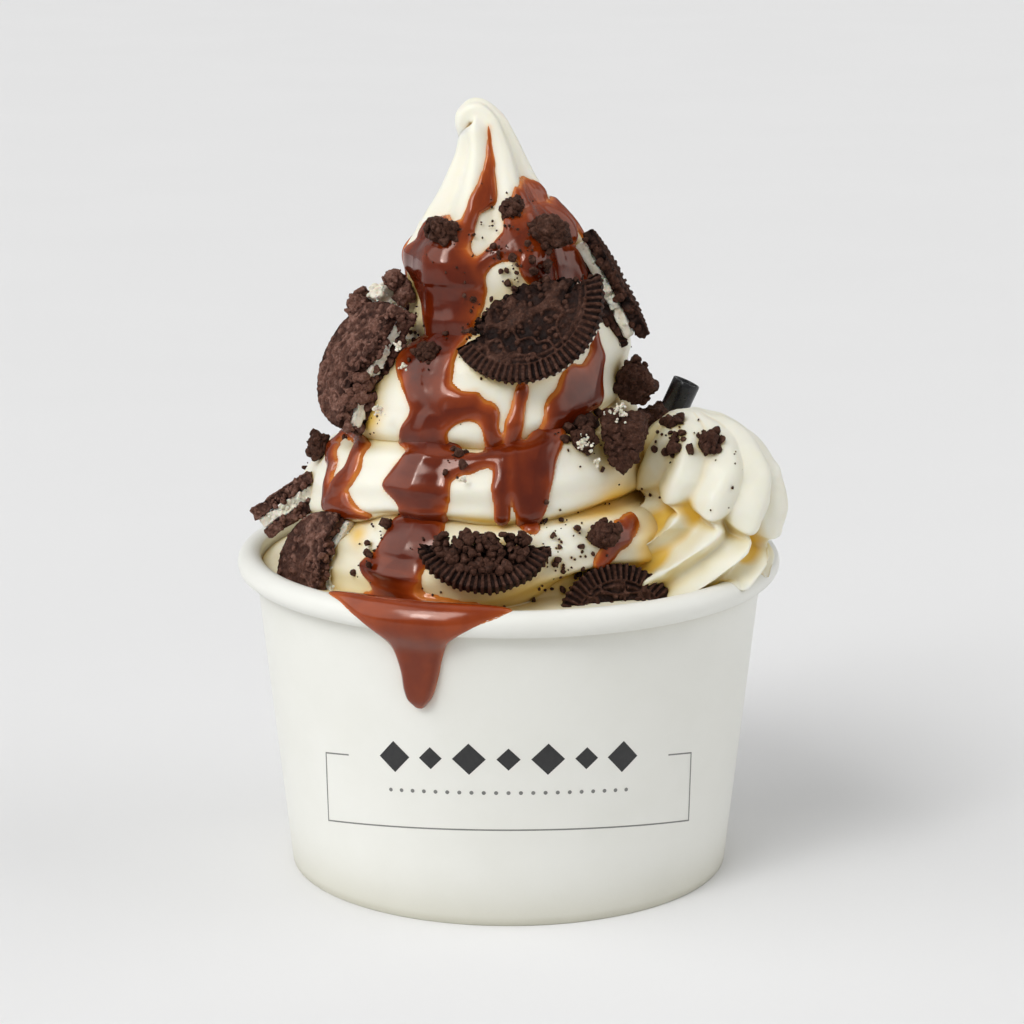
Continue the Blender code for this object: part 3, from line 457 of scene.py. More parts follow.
def sauce():
    """Chocolate sauce, orange where it is thin."""
    p = Paint("chocolate_sauce", IOR=1.5, Specular_IOR_Level=0.46, Specular_Tint=(1, 0.78, 0.68, 1),
              Coat_Weight=0.25, Coat_Roughness=0.05, Coat_Tint=(1, 0.9, 0.85, 1))
    body = p.ramp(p.attribute("depth"), (0, (0.62, 0.20, 0.03)), (0.12, (0.44, 0.09, 0.010)),
                  (0.38, (0.30, 0.047, 0.005)), (0.95, (0.115, 0.012, 0.0015)))
    p.set("Base Color", p.times(body, p.mottle(7, (0.72, 0.62, 0.58), WHITE, spread=0.15)))
    p.set("Roughness", p.mottle(4, 0.1, 0.22))
    p.grain(5, 0.3, 0.35, 2)
    return p.mat


def cocoa(name, dark, mid, light):
    """Baked cocoa wafer, with painted shade that darkens its grooves and hollows."""
    p = Paint(name, IOR=1.45, Specular_IOR_Level=0.18)
    hollow_shade = (0.2, 0.14, 0.11)
    body = p.ramp(p.noise(0.9, 5, 0.7), (0.25, dark), (0.5, mid), (0.78, light))
    # Painted shade: the body darkens where ambient occlusion finds hollows and where the groove attribute
    # marks grooves and broken recesses.
    for shade in (
        p.ramp(p.occlusion(2), (0.15, hollow_shade), (0.75, WHITE)),
        p.ramp(p.attribute("groove"), (0.05, WHITE), (0.85, hollow_shade)),
        p.mottle(7, (0.7, 0.64, 0.60), WHITE),
    ):
        body = p.times(body, shade)
    p.set("Base Color", p.times(body, p.ramp(p.cell(0.8), (0.08, 0.2), (0.35, 1)), 0.7))
    p.set("Roughness", p.mottle(1.4, 0.5, 0.85, 4))
    p.bump(p.cell(1.1), 0.22, 0.6)
    p.grain(0.45, 0.16, 0.7, 5, 0.7)
    return p.mat


def filling():
    p = Paint("cookie_filling", Subsurface_Weight=0.15, Subsurface_Scale=0.002)
    specks = p.ramp(p.cell(1.3), (0.10, (0.06, 0.03, 0.022)), (0.2, (0.92, 0.88, 0.80)))
    p.set("Base Color", p.times(p.mottle(1.5, (0.72, 0.65, 0.53), (0.93, 0.90, 0.82), 4), specks, 0.55))
    p.set("Roughness", p.mottle(1.2, 0.5, 0.7, 4))
    p.grain(0.7, 0.2, 0.7, 5, 0.7)
    return p.mat


def black_plastic():
    p = Paint("straw_plastic", IOR=1.5)
    p.set("Base Color", p.mottle(3, (0.008, 0.008, 0.009), (0.016, 0.016, 0.017)))
    p.set("Roughness", p.mottle(1.5, 0.2, 0.34, 4))
    p.grain(0.5, 0.02, 0.4)
    return p.mat


def backdrop():
    p = Paint("floor", Roughness=0.8, Specular_IOR_Level=0.1)
    p.set("Base Color", p.mottle(120, (0.8, 0.8, 0.8), (0.81, 0.81, 0.81), 2))
    return p.mat


MAT = {
    "paper": paper(),
    "ink": ink("print_ink", (0.012, 0.012, 0.013), (0.02, 0.02, 0.02), 0.4, Coat_Weight=0.1),
    "rule": ink("print_rule", (0.16, 0.16, 0.15), (0.22, 0.22, 0.21), 0.42),
    "soft_serve": soft_serve(),
    "whipped": whipped(),
    "sauce": sauce(),
    "wafer": cocoa("cocoa_wafer", (0.022, 0.008, 0.0045), (0.066, 0.026, 0.015), (0.17, 0.086, 0.062)),
    # Partly painted light: a much lighter copy of the wafer paint, for the wrinkled cookies that face the key
    # light and look dusty with cocoa.
    "dusty_and_lit": cocoa("cocoa_dusty_and_lit", (0.036, 0.014, 0.009), (0.18, 0.084, 0.060), (0.38, 0.23, 0.185)),
    "filling": filling(),
    "straw": black_plastic(),
    "floor": backdrop(),
}


# ---------------- cup
def cup_radius(z):
    return BASE_R + (WALL_TOP_R - BASE_R) * z / (ROLL_AT[1] - ROLL_R * 0.906)


def roll_points(radius, start, end, count):
    a = np.radians(np.linspace(start, end, count))
    return [(ROLL_AT[0] + radius * c, ROLL_AT[1] + radius * s) for c, s in zip(np.cos(a), np.sin(a))]


def revolved(profile, sides):
    a = np.radians(np.arange(sides) * 360 / sides)
    r, z = np.asarray(profile, float).T[..., None]
    return around(r, a, z)


def make_cup():
    top = RECESS + WALL
    foot = BASE_R - FOOT
    edge = 0.25
    profile = [(0.5, RECESS), (foot - edge, RECESS), (foot, RECESS - edge), (foot, edge), (foot + edge, 0)]
    profile += [(BASE_R - edge, 0), (BASE_R, edge)]
    profile += [(cup_radius(z), z) for z in np.linspace(2, 62.6, 22)]
    profile += roll_points(ROLL_R, ROLL_START, ROLL_END, 36)
    profile += [(cup_radius(z) - WALL, z) for z in np.linspace(66, top + edge, 12)]
    profile += [(cup_radius(top) - WALL - edge, top), (0.5, top)]
    points, quads, tris = capped(revolved(profile, 256))
    ride(add_mesh("tub", points, quads, "paper", tris), "paper", "cup")


# Print on the wall: how much lower its ends run, its reach, the wall's mean radius, its lift off the wall
PRINT_DIP, PRINT_REACH, PRINT_R, PRINT_LIFT = 4, 44, 50, 0.03
# The print's frame: half width, foot, top, lean, stubs, line, half the width of an upright
FRAME_SIDE, FRAME_LOW, FRAME_HIGH, FRAME_LEAN = 43.7, 21.6, 36.7, 1.6
STUB, LINE, HALF_LINE = (35.2, 42.26), 0.3, 0.16
DIAMONDS, DIAMOND_GAP, DIAMOND_Z, DIAMOND_SIZES = 7, 7.9, 36.9, (3.4, 2.4)
DOTS, DOT_GAP, DOT_Z, DOT_R = 21, 2.5, 29.6, 0.42


def on_wall(xs, zs):
    """Points on the wall, from mm along it from the front's middle and mm up it; the sides run lower."""
    zs = zs - PRINT_DIP * (xs / PRINT_REACH) ** 2
    return around(cup_radius(zs) + PRINT_LIFT, np.radians(-90) + xs / PRINT_R, zs)


def wall_patch(x0, x1, z0, z1, nx, nz, lean=0):
    """A small patch that lies on the tub's wall; it leans sideways by this much towards its top."""
    xs, zs = np.meshgrid(np.linspace(x0, x1, nx), np.linspace(z0, z1, nz))
    return on_wall(xs + lean * (zs - z0) / (z1 - z0), zs), grid_quads(nz, nx, False)


def make_print():
    """Plain print on the tub's front: a thin open frame, a row of diamonds and a row of dots."""
    marks, rules = [], []
    u, v = np.meshgrid(np.linspace(-0.5, 0.5, 9), np.linspace(-0.5, 0.5, 9))
    for k in range(DIAMONDS):
        x, size = (k - DIAMONDS // 2) * DIAMOND_GAP, DIAMOND_SIZES[k % 2]
        marks.append((on_wall(x + size * (u - v), DIAMOND_Z + size * (u + v)), grid_quads(9, 9, False)))
    a, s = np.meshgrid(np.linspace(0, 2 * np.pi, 17), np.linspace(0.02, DOT_R, 3))
    for k in range(DOTS):
        x = (k - DOTS // 2) * DOT_GAP
        rules.append((on_wall(x + s * np.cos(a), DOT_Z + s * np.sin(a)), grid_quads(3, 17, False)))
    for sign in (-1, 1):
        x, lean = sign * FRAME_SIDE, -sign * FRAME_LEAN
        rules.append(wall_patch(x - HALF_LINE, x + HALF_LINE, FRAME_LOW, FRAME_HIGH, 2, 12, lean))
        near, far = sorted((sign * STUB[0], sign * STUB[1]))
        rules.append(wall_patch(near, far, FRAME_HIGH - LINE, FRAME_HIGH, 8, 2))
    side = FRAME_SIDE + HALF_LINE
    rules.append(wall_patch(-side, side, FRAME_LOW - LINE, FRAME_LOW, 90, 2))
    for name, parts, mat in (("print_marks", marks, "ink"), ("print_rules", rules, "rule")):
        points, quads = joined([(points.reshape(-1, 3), quads) for points, quads in parts])
        ride(add_mesh(name, points, quads, mat), "paper")


# ---------------- soft serve
def hill(angle, t, spot):
    """A smooth hill on the swirl, from its angle, height, widths and top."""
    angle0, t0, wide, tall, top = spot
    return top * np.exp(-(((angle - angle0) / wide) ** 2) - ((t - t0) / tall) ** 2)


def swirl(angle, t):
    """Points of the soft serve for angles in degrees and height parameters in mm, with their place from
    crease to crease and the creases' depth."""
    th = np.radians(angle)
    cx, cz, radius = (curve(t, SWIRL, k) for k in (1, 2, 3))
    ahead, up = (curve(t + 0.05, SWIRL, k) - curve(t - 0.05, SWIRL, k) for k in (1, 2))
    bend = ease((t - 146) / 8)
    ahead, up = ahead * bend, up * bend + 0.1 * (1 - bend)
    size = np.hypot(ahead, up)
    ahead, up = ahead / size, up / size
    turn = (angle + 90) / 360 + sum(hill(angle, t, fold) for fold in FOLDS)
    level = np.interp(t, COIL_EDGES, range(len(COIL_EDGES))) - turn
    phase = level - np.floor(level)
    pitch = np.interp(t, COIL_EDGES[:-1], np.diff(COIL_EDGES))
    depth = np.interp(t, *zip(*CREASE))
    r = radius - depth + depth * np.sin(np.pi * phase ** 0.85)
    sag = pitch * (0.5 - 0.5 * np.cos(np.pi * phase) - phase) * unit(depth / 3) * 0.9
    flute = np.interp(t, *zip(*FLUTES))
    r = r * (1 + flute * np.cos(FLUTE_COUNT * np.radians(angle + 62 - 0.55 * (t - 140))))
    calm = unit((150 - t) / 30)
    r = r - sum(hill(angle, t, dent) for dent in DENTS)
    r = r + calm * (0.5 * np.sin(2 * th + 0.11 * t) + 0.35 * np.sin(3 * th - 0.17 * t + 1))
    x = cx + r * np.cos(th) * up
    z = cz - r * np.cos(th) * ahead + sag
    return np.stack([x, r * np.sin(th) + 0 * t, z], -1), phase, depth


def swirl_point(angle, t):
    """A point and its outward normal on the swirl."""
    a, h = np.array([float(angle)]), np.array([float(t)])
    du = swirl(a + 1, h)[0] - swirl(a - 1, h)[0]
    dt = swirl(a, h + 0.6)[0] - swirl(a, h - 0.6)[0]
    n = np.cross(du, dt)[0]
    return swirl(a, h)[0][0], n / np.linalg.norm(n)


def fine_swirl(angle, t):
    """The swirl with its fine ridges and unevenness."""
    points, phase, depth = swirl(angle, t)
    n = grid_normals(points, False)
    fade = ease((t - 66.5) / 3)
    ribs = 0.22 * np.cos(2 * np.pi * 4 * phase) * unit(depth / 3) * ease(phase / 0.12)
    lumps = 0.55 * noise(points / 13, 5) + 0.22 * noise(points / 5, 6)
    lumps = lumps * np.clip((158 - t) / 20, 0.15, 1)
    return points + n * ((ribs + lumps) * fade)[..., None]


def swirl_grid(cols, rows, high):
    """Grid over the swirl; one extra column on each side keeps the normals right."""
    a, h = np.meshgrid(np.arange(-1, cols + 1) * 360 / cols - 180, np.linspace(T_LOW, high, rows))
    return a[:, 1:-1], h[:, 1:-1], fine_swirl(a, h)[:, 1:-1]


# Painted shade and glow: golden places in the shaded folds of the soft serve: angle, height, widths, strength
GOLDEN_SHADE = (
    (-143, 101.5, 6, 2.6, 0.9), (-92, 84.4, 8, 0.9, 0.9), (-86, 81.6, 6, 2.6, 0.5), (-42, 86, 11, 2.8, 1),
    (-50, 81, 14, 1.5, 0.7), (-33, 84, 8, 1.6, 0.8), (-137, 75.5, 4, 2.4, 0.8), (-72, 70.5, 20, 3.4, 0.75),
    (-40, 74, 6, 4, 0.8),
)


def make_ice_cream():
    a, h, grid = swirl_grid(300, 300, T_HIGH)
    th = np.radians(a[0])
    wall_top = FILL_LEVEL + 0.3 * np.sin(3 * th + 0.6)
    wall_r = cup_radius(FILL_LEVEL) - WALL - 0.05
    foot = grid[0]
    base_r = cup_radius(FILL_BOTTOM) - WALL - 0.3
    rings = [around(base_r, th, FILL_BOTTOM), around(wall_r, th, wall_top - 0.6)]
    for k in np.linspace(0, 1, 14)[:-1]:
        ring = around(wall_r - 0.15, th, wall_top) * (1 - k) + foot * k
        ring[:, 2] = (wall_top + 0.5 * np.sin(np.pi * k)) * (1 - k ** 3) + foot[:, 2] * k ** 3
        ring[:, 2] += 0.22 * noise(ring / 4, 9) * np.sin(np.pi * min(k * 1.2, 1))
        rings.append(ring)
    points, quads, tris = capped(np.concatenate([np.array(rings), grid]))
    points[-1] = grid[-1].mean(0) + np.array([-0.2, 0, -0.9])
    _, phase, depth = swirl(a, h)
    crease = np.exp(-(np.minimum(phase, 1 - phase) / 0.05) ** 2) * unit(depth / 4)
    looks = {
        "crease": crease * ease(0.55 + 1.1 * noise(grid / np.array([9, 9, 5]), 12)),
        "golden_shade": np.max([hill(a, h, spot) for spot in GOLDEN_SHADE], axis=0),
        "stain": 0.4 * np.exp(-np.abs(sauce_inside(a, h)) / 0.25),
    }
    before = (len(rings) * len(th), 2)
    looks = {key: np.pad(value.ravel(), before) for key, value in looks.items()}
    ride(add_mesh("soft_serve_swirl", points, quads, "soft_serve", tris, **looks), "soft_serve", "ice_cream")


# ---------------- sauce
def sauce_inside(angle, t):
    """How far inside the drizzle a place is, in mm; negative outside it."""
    radius = curve(t, SWIRL, 3)
    left, right = (curve(t, RUN, k) for k in (1, 2))
    slope = np.radians(curve(t + 0.5, RUN, 1) - left) * 2 * radius
    off = np.abs((angle - 0.5 * (left + right) + 180) % 360 - 180)
    best = np.radians(0.5 * (right - left) - off) * radius / np.sqrt(1 + np.minimum(slope ** 2, 4))
    best = best - np.maximum(t - RUN[-1][0], 0)
    for stream in STREAMS:
        for (a0, t0, w0), (a1, t1, w1) in zip(stream[:-1], stream[1:]):
            ux, uy = np.radians(a1 - a0) * radius, (t1 - t0) * 1.08
            off = (angle - a0 + 180) % 360 - 180
            px, py = np.radians(off) * radius, (t - t0) * 1.08
            k = unit((px * ux + py * uy) / (ux * ux + uy * uy))
            gap = w0 + (w1 - w0) * k - np.hypot(px - ux * k, py - uy * k)
            blend = unit(0.5 + 0.5 * (best - gap) / 1.2)
            best = gap + (best - gap) * blend + 1.2 * blend * (1 - blend)
    return best


def blurred(grid, rows, cols):
    """Gaussian mean of a grid that wraps round its columns; the widths are in cells."""
    for axis, width in ((0, rows), (1, cols)):
        reach = int(3 * width)
        total, out = 0, 0
        for k in range(-reach, reach + 1):
            weight = np.exp(-0.5 * (k / width) ** 2)
            moved = np.roll(grid, k, 1) if axis else grid[np.clip(np.arange(len(grid)) + k, 0, len(grid) - 1)]
            out, total = out + weight * moved, total + weight
        grid = out / total
    return grid


def make_sauce():
    a, h, grid = swirl_grid(600, 400, 160)
    spot = np.stack([np.radians(a) * 30, h, 0 * a], -1)
    inside = sauce_inside(a, h) + 0.25 * noise(spot / 4, 21) + 0.15 * noise(spot / 1.8, 22)
    mean = blurred(grid, 5, 7)
    n = grid_normals(mean, True)
    lift = ((mean - grid) * n).sum(-1)
    filled = np.where(lift > 0, lift, 0.4 * np.tanh(lift / 0.4)) * ease((h - T_LOW) / 2)
    edge = unit(inside / 1.4)
    thick = 0.95 * np.sqrt(1 - (1 - edge) ** 2) + 0.12 * np.clip(inside, 0, 7)
    thick = thick + 0.42 * noise(spot / 6, 24) * ease(inside / 2.5) + filled * ease(inside / 1.8)
    thick = np.where(inside > 0, thick + 0.05, np.maximum(inside * 0.9, -0.5))
    thick = thick * (0.4 + 0.6 * ease((158 - h) / 20)) * ease((h - T_LOW) / 1.2)
    points = grid + n * thick[..., None]
    keep = inside > -0.6
    quads = grid_quads(*a.shape, True)
    quads = quads[keep.ravel()[quads].any(1)]
    used = np.unique(quads)
    index = np.zeros(a.size, np.int64)
    index[used] = np.arange(len(used))
    fall = unit(-np.gradient(inside, axis=0) / (h[1, 0] - h[0, 0]))
    thin = 0.4 * ease(noise(spot / 7, 26) * 1.4) * ease(1 - 0.25 * inside) + 0.12 * fall
    depth = unit(1 - np.exp(-inside / 0.75) + 0.22 * filled - thin + 0.07 * noise(spot / 3, 23))
    fringe = 0.2 + 0.6 * fall + 0.5 * ease(noise(spot / 4, 27) * 1.8)
    depth = depth * ease(0.2 + inside / fringe) * (0.45 + 0.55 * ease((150 - h) / 20))
    ride(add_mesh("sauce_drizzle", points.reshape(-1, 3)[used], index[quads], "sauce",
                  depth=depth.reshape(-1)[used]), "chocolate_sauce", "ice_cream")


def make_spill():
    path = [(43, 65.6), (47, 66.4), (50.4, 67.3)] + roll_points(ROLL_R + 0.05, 139, -75, 40)
    path += [(cup_radius(z) + 0.05, z) for z in np.linspace(60.5, 45, 30)]
    path = np.array(path)
    length = np.append(0, np.cumsum(np.hypot(*np.diff(path, axis=0).T))) - SPILL_LEAD
    rows, cols = 190, 64
    s = np.linspace(-SPILL_LEAD, SPILL[-1][0] + 0.9, rows)
    left, right, thick = (curve(s, SPILL, k) for k in (1, 2, 3))
    end = np.sqrt(unit(1 - unit((s - 31) / (s[-1] - 31)) ** 2))
    left, right, thick = left * end, right * end, thick * (0.25 + 0.75 * end) * ease((s + SPILL_LEAD) / 4)
    r0, z0 = (np.interp(s, length, part) for part in path.T)
    r1, z1 = (np.interp(s + 0.5, length, part) - np.interp(s - 0.5, length, part) for part in path.T)
    size = np.hypot(r1, z1)
    nr, nz = -z1 / size, r1 / size
    across = np.sin(np.linspace(-0.5 * np.pi, 0.5 * np.pi, cols))[None, :]
    side = np.where(across < 0, -left[:, None] * across, right[:, None] * across)
    wave = 0.5 * noise(np.stack([side / 5, s[:, None] / 5 + 0 * side, 0 * side], -1), 31)
    rise = (thick[:, None] * (1 + 0.12 * wave)) * np.sqrt(unit(1 - across ** 4))
    way = np.radians(SPILL_ANGLE) + side / 55
    top, low = (around(r0[:, None] + nr[:, None] * lift, way, z0[:, None] + nz[:, None] * lift)
                for lift in (rise, -0.05))
    bridge = (ease((s - 9) / 3) * ease((27 - s) / 4))[:, None, None]
    top = top + (blurred(top, 8, 0.3) - top) * bridge
    i = np.arange(cols - 1)
    first = np.stack([i, 2 * cols - 1 - i, 2 * cols - 2 - i, i + 1], -1)
    last = first[:, ::-1] + (rows - 1) * 2 * cols
    quads = np.concatenate([grid_quads(rows, 2 * cols, True), first, last])
    depth = np.pad(unit(rise / 2) * 0.69, ((0, 0), (0, cols)))
    run = add_mesh("sauce_run", np.concatenate([top, low[:, ::-1]], 1), quads, "sauce", depth=depth)
    ride(run, "chocolate_sauce", "sauce_overflow")


# ---------------- whipped cream
def rosette(angle, t):
    """Points of the whipped cream, a two-tier star-piped rosette, and how deep in its valleys they lie."""
    cx, cy, r = (curve(t, ROSETTE, k) for k in (1, 2, 3))
    above = t - (TIER_EDGE - TIER_TILT * np.cos(np.radians(angle - TIER_TURN)))
    upper = ease(0.5 + above / 3)
    rise = t - TIER_EDGE
    lean = LOBE_TWIST * np.maximum(rise, 0) + RIDGE_TWIST * np.minimum(rise, 0)
    turn = np.radians(0.5 * LOBES * (angle - lean) + 90 * upper)
    ridge = 1 - np.sqrt(np.sin(turn) ** 2 + 0.003)
    petal = 0.5 * np.abs(np.cos(turn)) + 0.5 * np.cos(turn) ** 2
    lobe = ridge + (petal - ridge) * upper
    depth = RIDGE_DEPTH + (LOBE_DEPTH - RIDGE_DEPTH) * upper
    depth = depth * ease((t - 55) / 5) * (1 - 0.5 * ease((t - 92) / 7))
    notch = np.exp(-((above / 2.2) ** 2))
    r = r * (1 - depth * (1 - lobe)) - TIER_NOTCH * notch
    th = np.radians(angle)
    droop = -1.9 * lobe * np.exp(-(((above - 2.6) / 2) ** 2))
    # valley also sets how much golden painted shade the cream gets, most in the lower tier and in the notch
    # under the upper one.
    valley = (1 - lobe) ** 1.6 * (0.25 + 0.75 * ease(0.5 - above / 6)) + 0.45 * notch
    return around(r, th, t + droop) + np.stack([cx, cy, 0 * t], -1), valley


def make_whipped():
    cols, rows = 360, 230
    a, t = np.meshgrid(np.arange(cols) * 360 / cols, np.linspace(ROSETTE[0][0], ROSETTE[-1][0], rows))
    grid, valley = rosette(a, t)
    n = grid_normals(grid, True)
    grid = grid + n * (0.55 * noise(grid / 7, 41) + 0.25 * noise(grid / 2.6, 42))[..., None]
    rho = np.hypot(grid[..., 0], grid[..., 1])
    inner = cup_radius(grid[..., 2]) - WALL - 0.1
    limit = np.where(grid[..., 2] < 67, inner, 200)
    gap = np.hypot(rho - ROLL_AT[0], grid[..., 2] - ROLL_AT[1])
    roll = (gap < ROLL_R + 0.1) & (grid[..., 2] >= 66)
    push = np.where(roll, (ROLL_R + 0.1) / np.maximum(gap, 0.5), 1)
    z = ROLL_AT[1] + (grid[..., 2] - ROLL_AT[1]) * push
    new_rho = np.minimum(ROLL_AT[0] + (rho - ROLL_AT[0]) * push, limit)
    grid[..., 0] *= new_rho / rho
    grid[..., 1] *= new_rho / rho
    grid[..., 2] = np.where(roll, z, grid[..., 2])
    points, quads, tris = capped(grid)
    points[-1, 2] += 0.4
    crease = np.pad((valley * ease(0.6 + noise(grid / 6, 43))).ravel(), (0, 2))
    ride(add_mesh("cream_rosette", points, quads, "whipped", tris, crease=crease),
         "whipped_cream", "whipped_cream")


def make_straw():
    foot, top = Vector(STRAW_FOOT), Vector(STRAW_TOP)
    along = (top - foot).length
    inner = STRAW_R - STRAW_WALL
    profile = [(inner, 0), (STRAW_R, 0)] + [(STRAW_R, z) for z in np.linspace(1, along - 0.15, 30)]
    profile += [(STRAW_R - 0.12, along), (inner + 0.12, along), (inner, along - 0.15)]
    profile += [(inner, z) for z in np.linspace(along - 1, 0.5, 30)] + [(inner, 0)]
    turn = np.array((top - foot).to_track_quat("Z", "Y").to_matrix())
    points = revolved(profile, 64).reshape(-1, 3) @ turn.T + np.array(foot)
    tube = add_mesh("straw_tube", points, grid_quads(len(profile), 64, True), "straw")
    ride(tube, "straw_plastic", "straw")


# ---------------- cookies
def facing(azimuth, elevation, roll):
    """Axes of a cookie whose face points this way; its break lies on the side of its y axis."""
    n, side = direction(azimuth, elevation), direction(azimuth + 90, 0)
    ro = np.radians(roll)
    y = -side * np.cos(ro) - np.cross(n, side) * np.sin(ro)
    return np.stack([np.cross(y, n), y, n], 1)


def break_line(x, radius, cut, bulge, rough, seed):
    """Uneven line of a break, as y for each x."""
    spot = np.stack([x / 5 + 0.37 * seed, 0 * x, 0 * x], -1)
    line = cut - 0.2 + bulge * unit(1 - x ** 2 / (radius ** 2 - cut ** 2))
    uneven = 1.3 * noise(spot, seed) + 0.6 * noise(spot * 3.1, seed + 1) + 0.3 * noise(spot * 8, seed + 2)
    return line + rough * uneven


def bars(theta, radius):
    """Bars round a wafer's rim: 1 on them and 0 between them."""
    return ease(0.5 + 0.8 * np.cos(round(2 * np.pi * radius / BAR_PITCH) * theta))


def wafer_relief(x, y, radius, seed, wrinkled):
    """Relief of a pressed wafer from 0 down to about -1: bars round the rim, ridges and beads inside them."""
    dist, theta = np.hypot(x, y), np.arctan2(y, x)
    spot = np.stack([x, y, 0 * x + 0.71 * seed], -1)
    if wrinkled:
        way = np.stack([dist / 1.7 + 0.7 * noise(spot / 3.2, seed), theta * radius / 5.5, 0 * x + seed], -1)
        fold = ease((0.34 - np.abs(noise(way, seed + 4))) / 0.3)
        return 0.9 * (np.maximum(fold, 0.8 * ease((0.5 - cells(spot / 1.7, seed + 5)) / 0.25)) - 1)
    field = ease((radius - 3.4 - dist) / 0.5)
    ring = ease(1 - np.abs(dist - radius + 4.6) / 0.7)
    worm = ease((0.2 - np.abs(noise(spot / 2.9, seed + 4))) / 0.14)
    bead = ease((0.47 - cells(spot / 1.6, seed + 5)) / 0.2)
    inner = np.maximum(np.maximum(worm, bead), 0.7 * ring) - 1
    return (1 - field) * (bars(theta, radius) - 1) * ease((dist - radius + 3.5) / 0.4) + field * inner


def biscuit(shape, low, high, form, seed, cols, tops):
    """Points of a broken disc from low to high, and how deep in its relief they lie.

    The shape is radius, cut, bulge and roughness of the break. The arc lies below y = cut, the break
    along it; the form is wafer, wrinkled or filling.
    """
    radius, cut, bulge, _ = shape
    a = np.arange(cols) * 2 * np.pi / cols
    mid_y = 0.5 * (cut + bulge - radius)
    c, s = np.cos(a), np.sin(a)
    to_arc = -mid_y * s + np.sqrt(radius ** 2 - (mid_y * c) ** 2)
    to_cut = np.full(cols, 1e3)
    for _ in range(5):
        line = break_line(np.minimum(to_arc, to_cut) * c, *shape, seed)
        to_cut = np.where(s > 0.02, (line - mid_y) / np.maximum(s, 0.02), 1e3)
    reach = np.minimum(to_arc, to_cut)
    broken = ease((to_arc - to_cut) / 1.5 + 0.5)[None, :]
    if form == "filling":
        reach = reach + 0.35 * noise(np.stack([c * 5, s * 5, 0 * c + seed], -1), seed + 3)
    steps = 1 - (1 - np.linspace(0, 1, tops)) ** 1.35
    below = 1 - (1 - np.linspace(0, 1, 7)) ** 1.6
    path = [(k, 0) for k in below[:-1]] + [(1, v) for v in np.linspace(0, 1, 12)]
    path += [(k, 1) for k in steps[::-1][1:]]
    scale, v = (np.array(part)[:, None] for part in zip(*path))
    r = reach[None, :] * scale
    bevel = 0.35
    corner = np.clip(bevel - reach[None, :] + r, 0, bevel) * (1 - broken)
    z = low + (high - low) * v + 0 * r
    z = z - np.sign(v - 0.5) * corner ** 2 / bevel * np.where(np.abs(v - 0.5) > 0.4, 1, 0)
    x, y = r * c, mid_y + r * s
    p = np.stack([x, y, z], -1)
    top, bottom = ease((v - 0.9) / 0.1), ease((0.1 - v) / 0.1)
    groove = 0 * z
    if form != "filling":
        dist, theta = np.hypot(x, y), np.arctan2(y, x)
        gap = (1 - bars(theta, radius)) * ease((dist - radius + 1) / 0.7) * (1 - broken)
        gap = gap * (0.2 if form == "wrinkled" else 1)
        p -= around(TEETH * gap, theta, 0)
        relief = wafer_relief(x, y, radius, seed, form == "wrinkled")
        relief = relief * (0.75 + 0.25 * noise(p / 3, seed + 9))
        p[..., 2] += RELIEF * relief * (top - 0.7 * bottom)
        groove = np.maximum(-relief * top, 0.8 * gap)
    spot = p + np.array([3.7 * seed, 0, 1.3 * seed])
    grit = 0.16 * fbm(spot / 1.1, 3, seed + 6)
    rough = broken * ease((scale - 0.72) / 0.28)
    crumb = 1.3 * (0.45 - cells(spot / 1.6, seed + 7)) + 0.5 * fbm(spot / 2, 3, seed + 8)
    sideways = rough * crumb * 0.9 + grit * ease((scale - 0.97) / 0.03)
    p += around(sideways, a, (top - bottom) * (grit + rough * np.minimum(crumb - 0.15, 0.1) * 1.2))
    return p, np.maximum(groove, rough * unit(0.5 - crumb))


def break_chips(shape, low, high, seed, count, largest):
    """Small chips that cling along a break, between two depths."""
    radius, cut = shape[:2]
    rng = np.random.default_rng(seed + 900)
    half = np.sqrt(radius ** 2 - cut ** 2) - 0.6
    parts = []
    for _ in range(count):
        x = rng.uniform(-half, half)
        y = float(break_line(np.array([x]), *shape, seed)[0]) - rng.uniform(0, 0.8)
        size = 0.3 + (largest - 0.3) * rng.random() ** 2
        parts.append(chip(rng, (x, y, rng.uniform(low + 0.2, high)), size))
    return parts


def rubble_chips(radius, cut, count, rng):
    """A heap of blocky crumbs along the break of a wafer, highest in its middle."""
    parts = []
    while len(parts) < count:
        x, y = rng.uniform(-radius, radius), rng.uniform(-radius, cut + 1.6)
        inner = min((radius - 3.6 - np.hypot(x, y)) / 3, 1)
        if inner > 0:
            size = rng.uniform(0.5, 1.4)
            height = rng.uniform(0, 1) * (0.4 + 2.6 * inner * ease((y + radius - 4) / 5))
            parts.append(chip(rng, (x, y, height), size))
    return parts


# Clods that cling to a cookie's layers: layer, centre, half sizes
CLODS = (
    ("cookie_left_high_wafer_a", (-31.2, -7.4, 121.4), (2.5, 2.2, 3)),
    ("cookie_left_high_wafer_a", (-29.4, -8, 118.9), (2, 2, 2)),
    ("cookie_left_high_wafer_b", (-23.6, -6.2, 126.6), (2.8, 2.2, 2.3)),
    ("cookie_left_high_wafer_b", (-21.8, -6.6, 123.6), (2.3, 2.2, 2.8)),
    ("cookie_left_high_filling", (-26.9, -7.6, 124), (2.1, 1.9, 2.2)),
)
WRINKLED = ("cookie_left_big", "cookie_left_low", "cookie_rim", "cookie_left_high")
SMOOTHER = {"cookie_front_high": 0.5, "cookie_rim": 0.45, "cookie_right_high": 0.7}    # at the break
FLUSH = ("cookie_rim",)            # its filling reaches the wafers' edge
COVERED = ("cookie_left_big",)     # crumbs cover the filling at the break


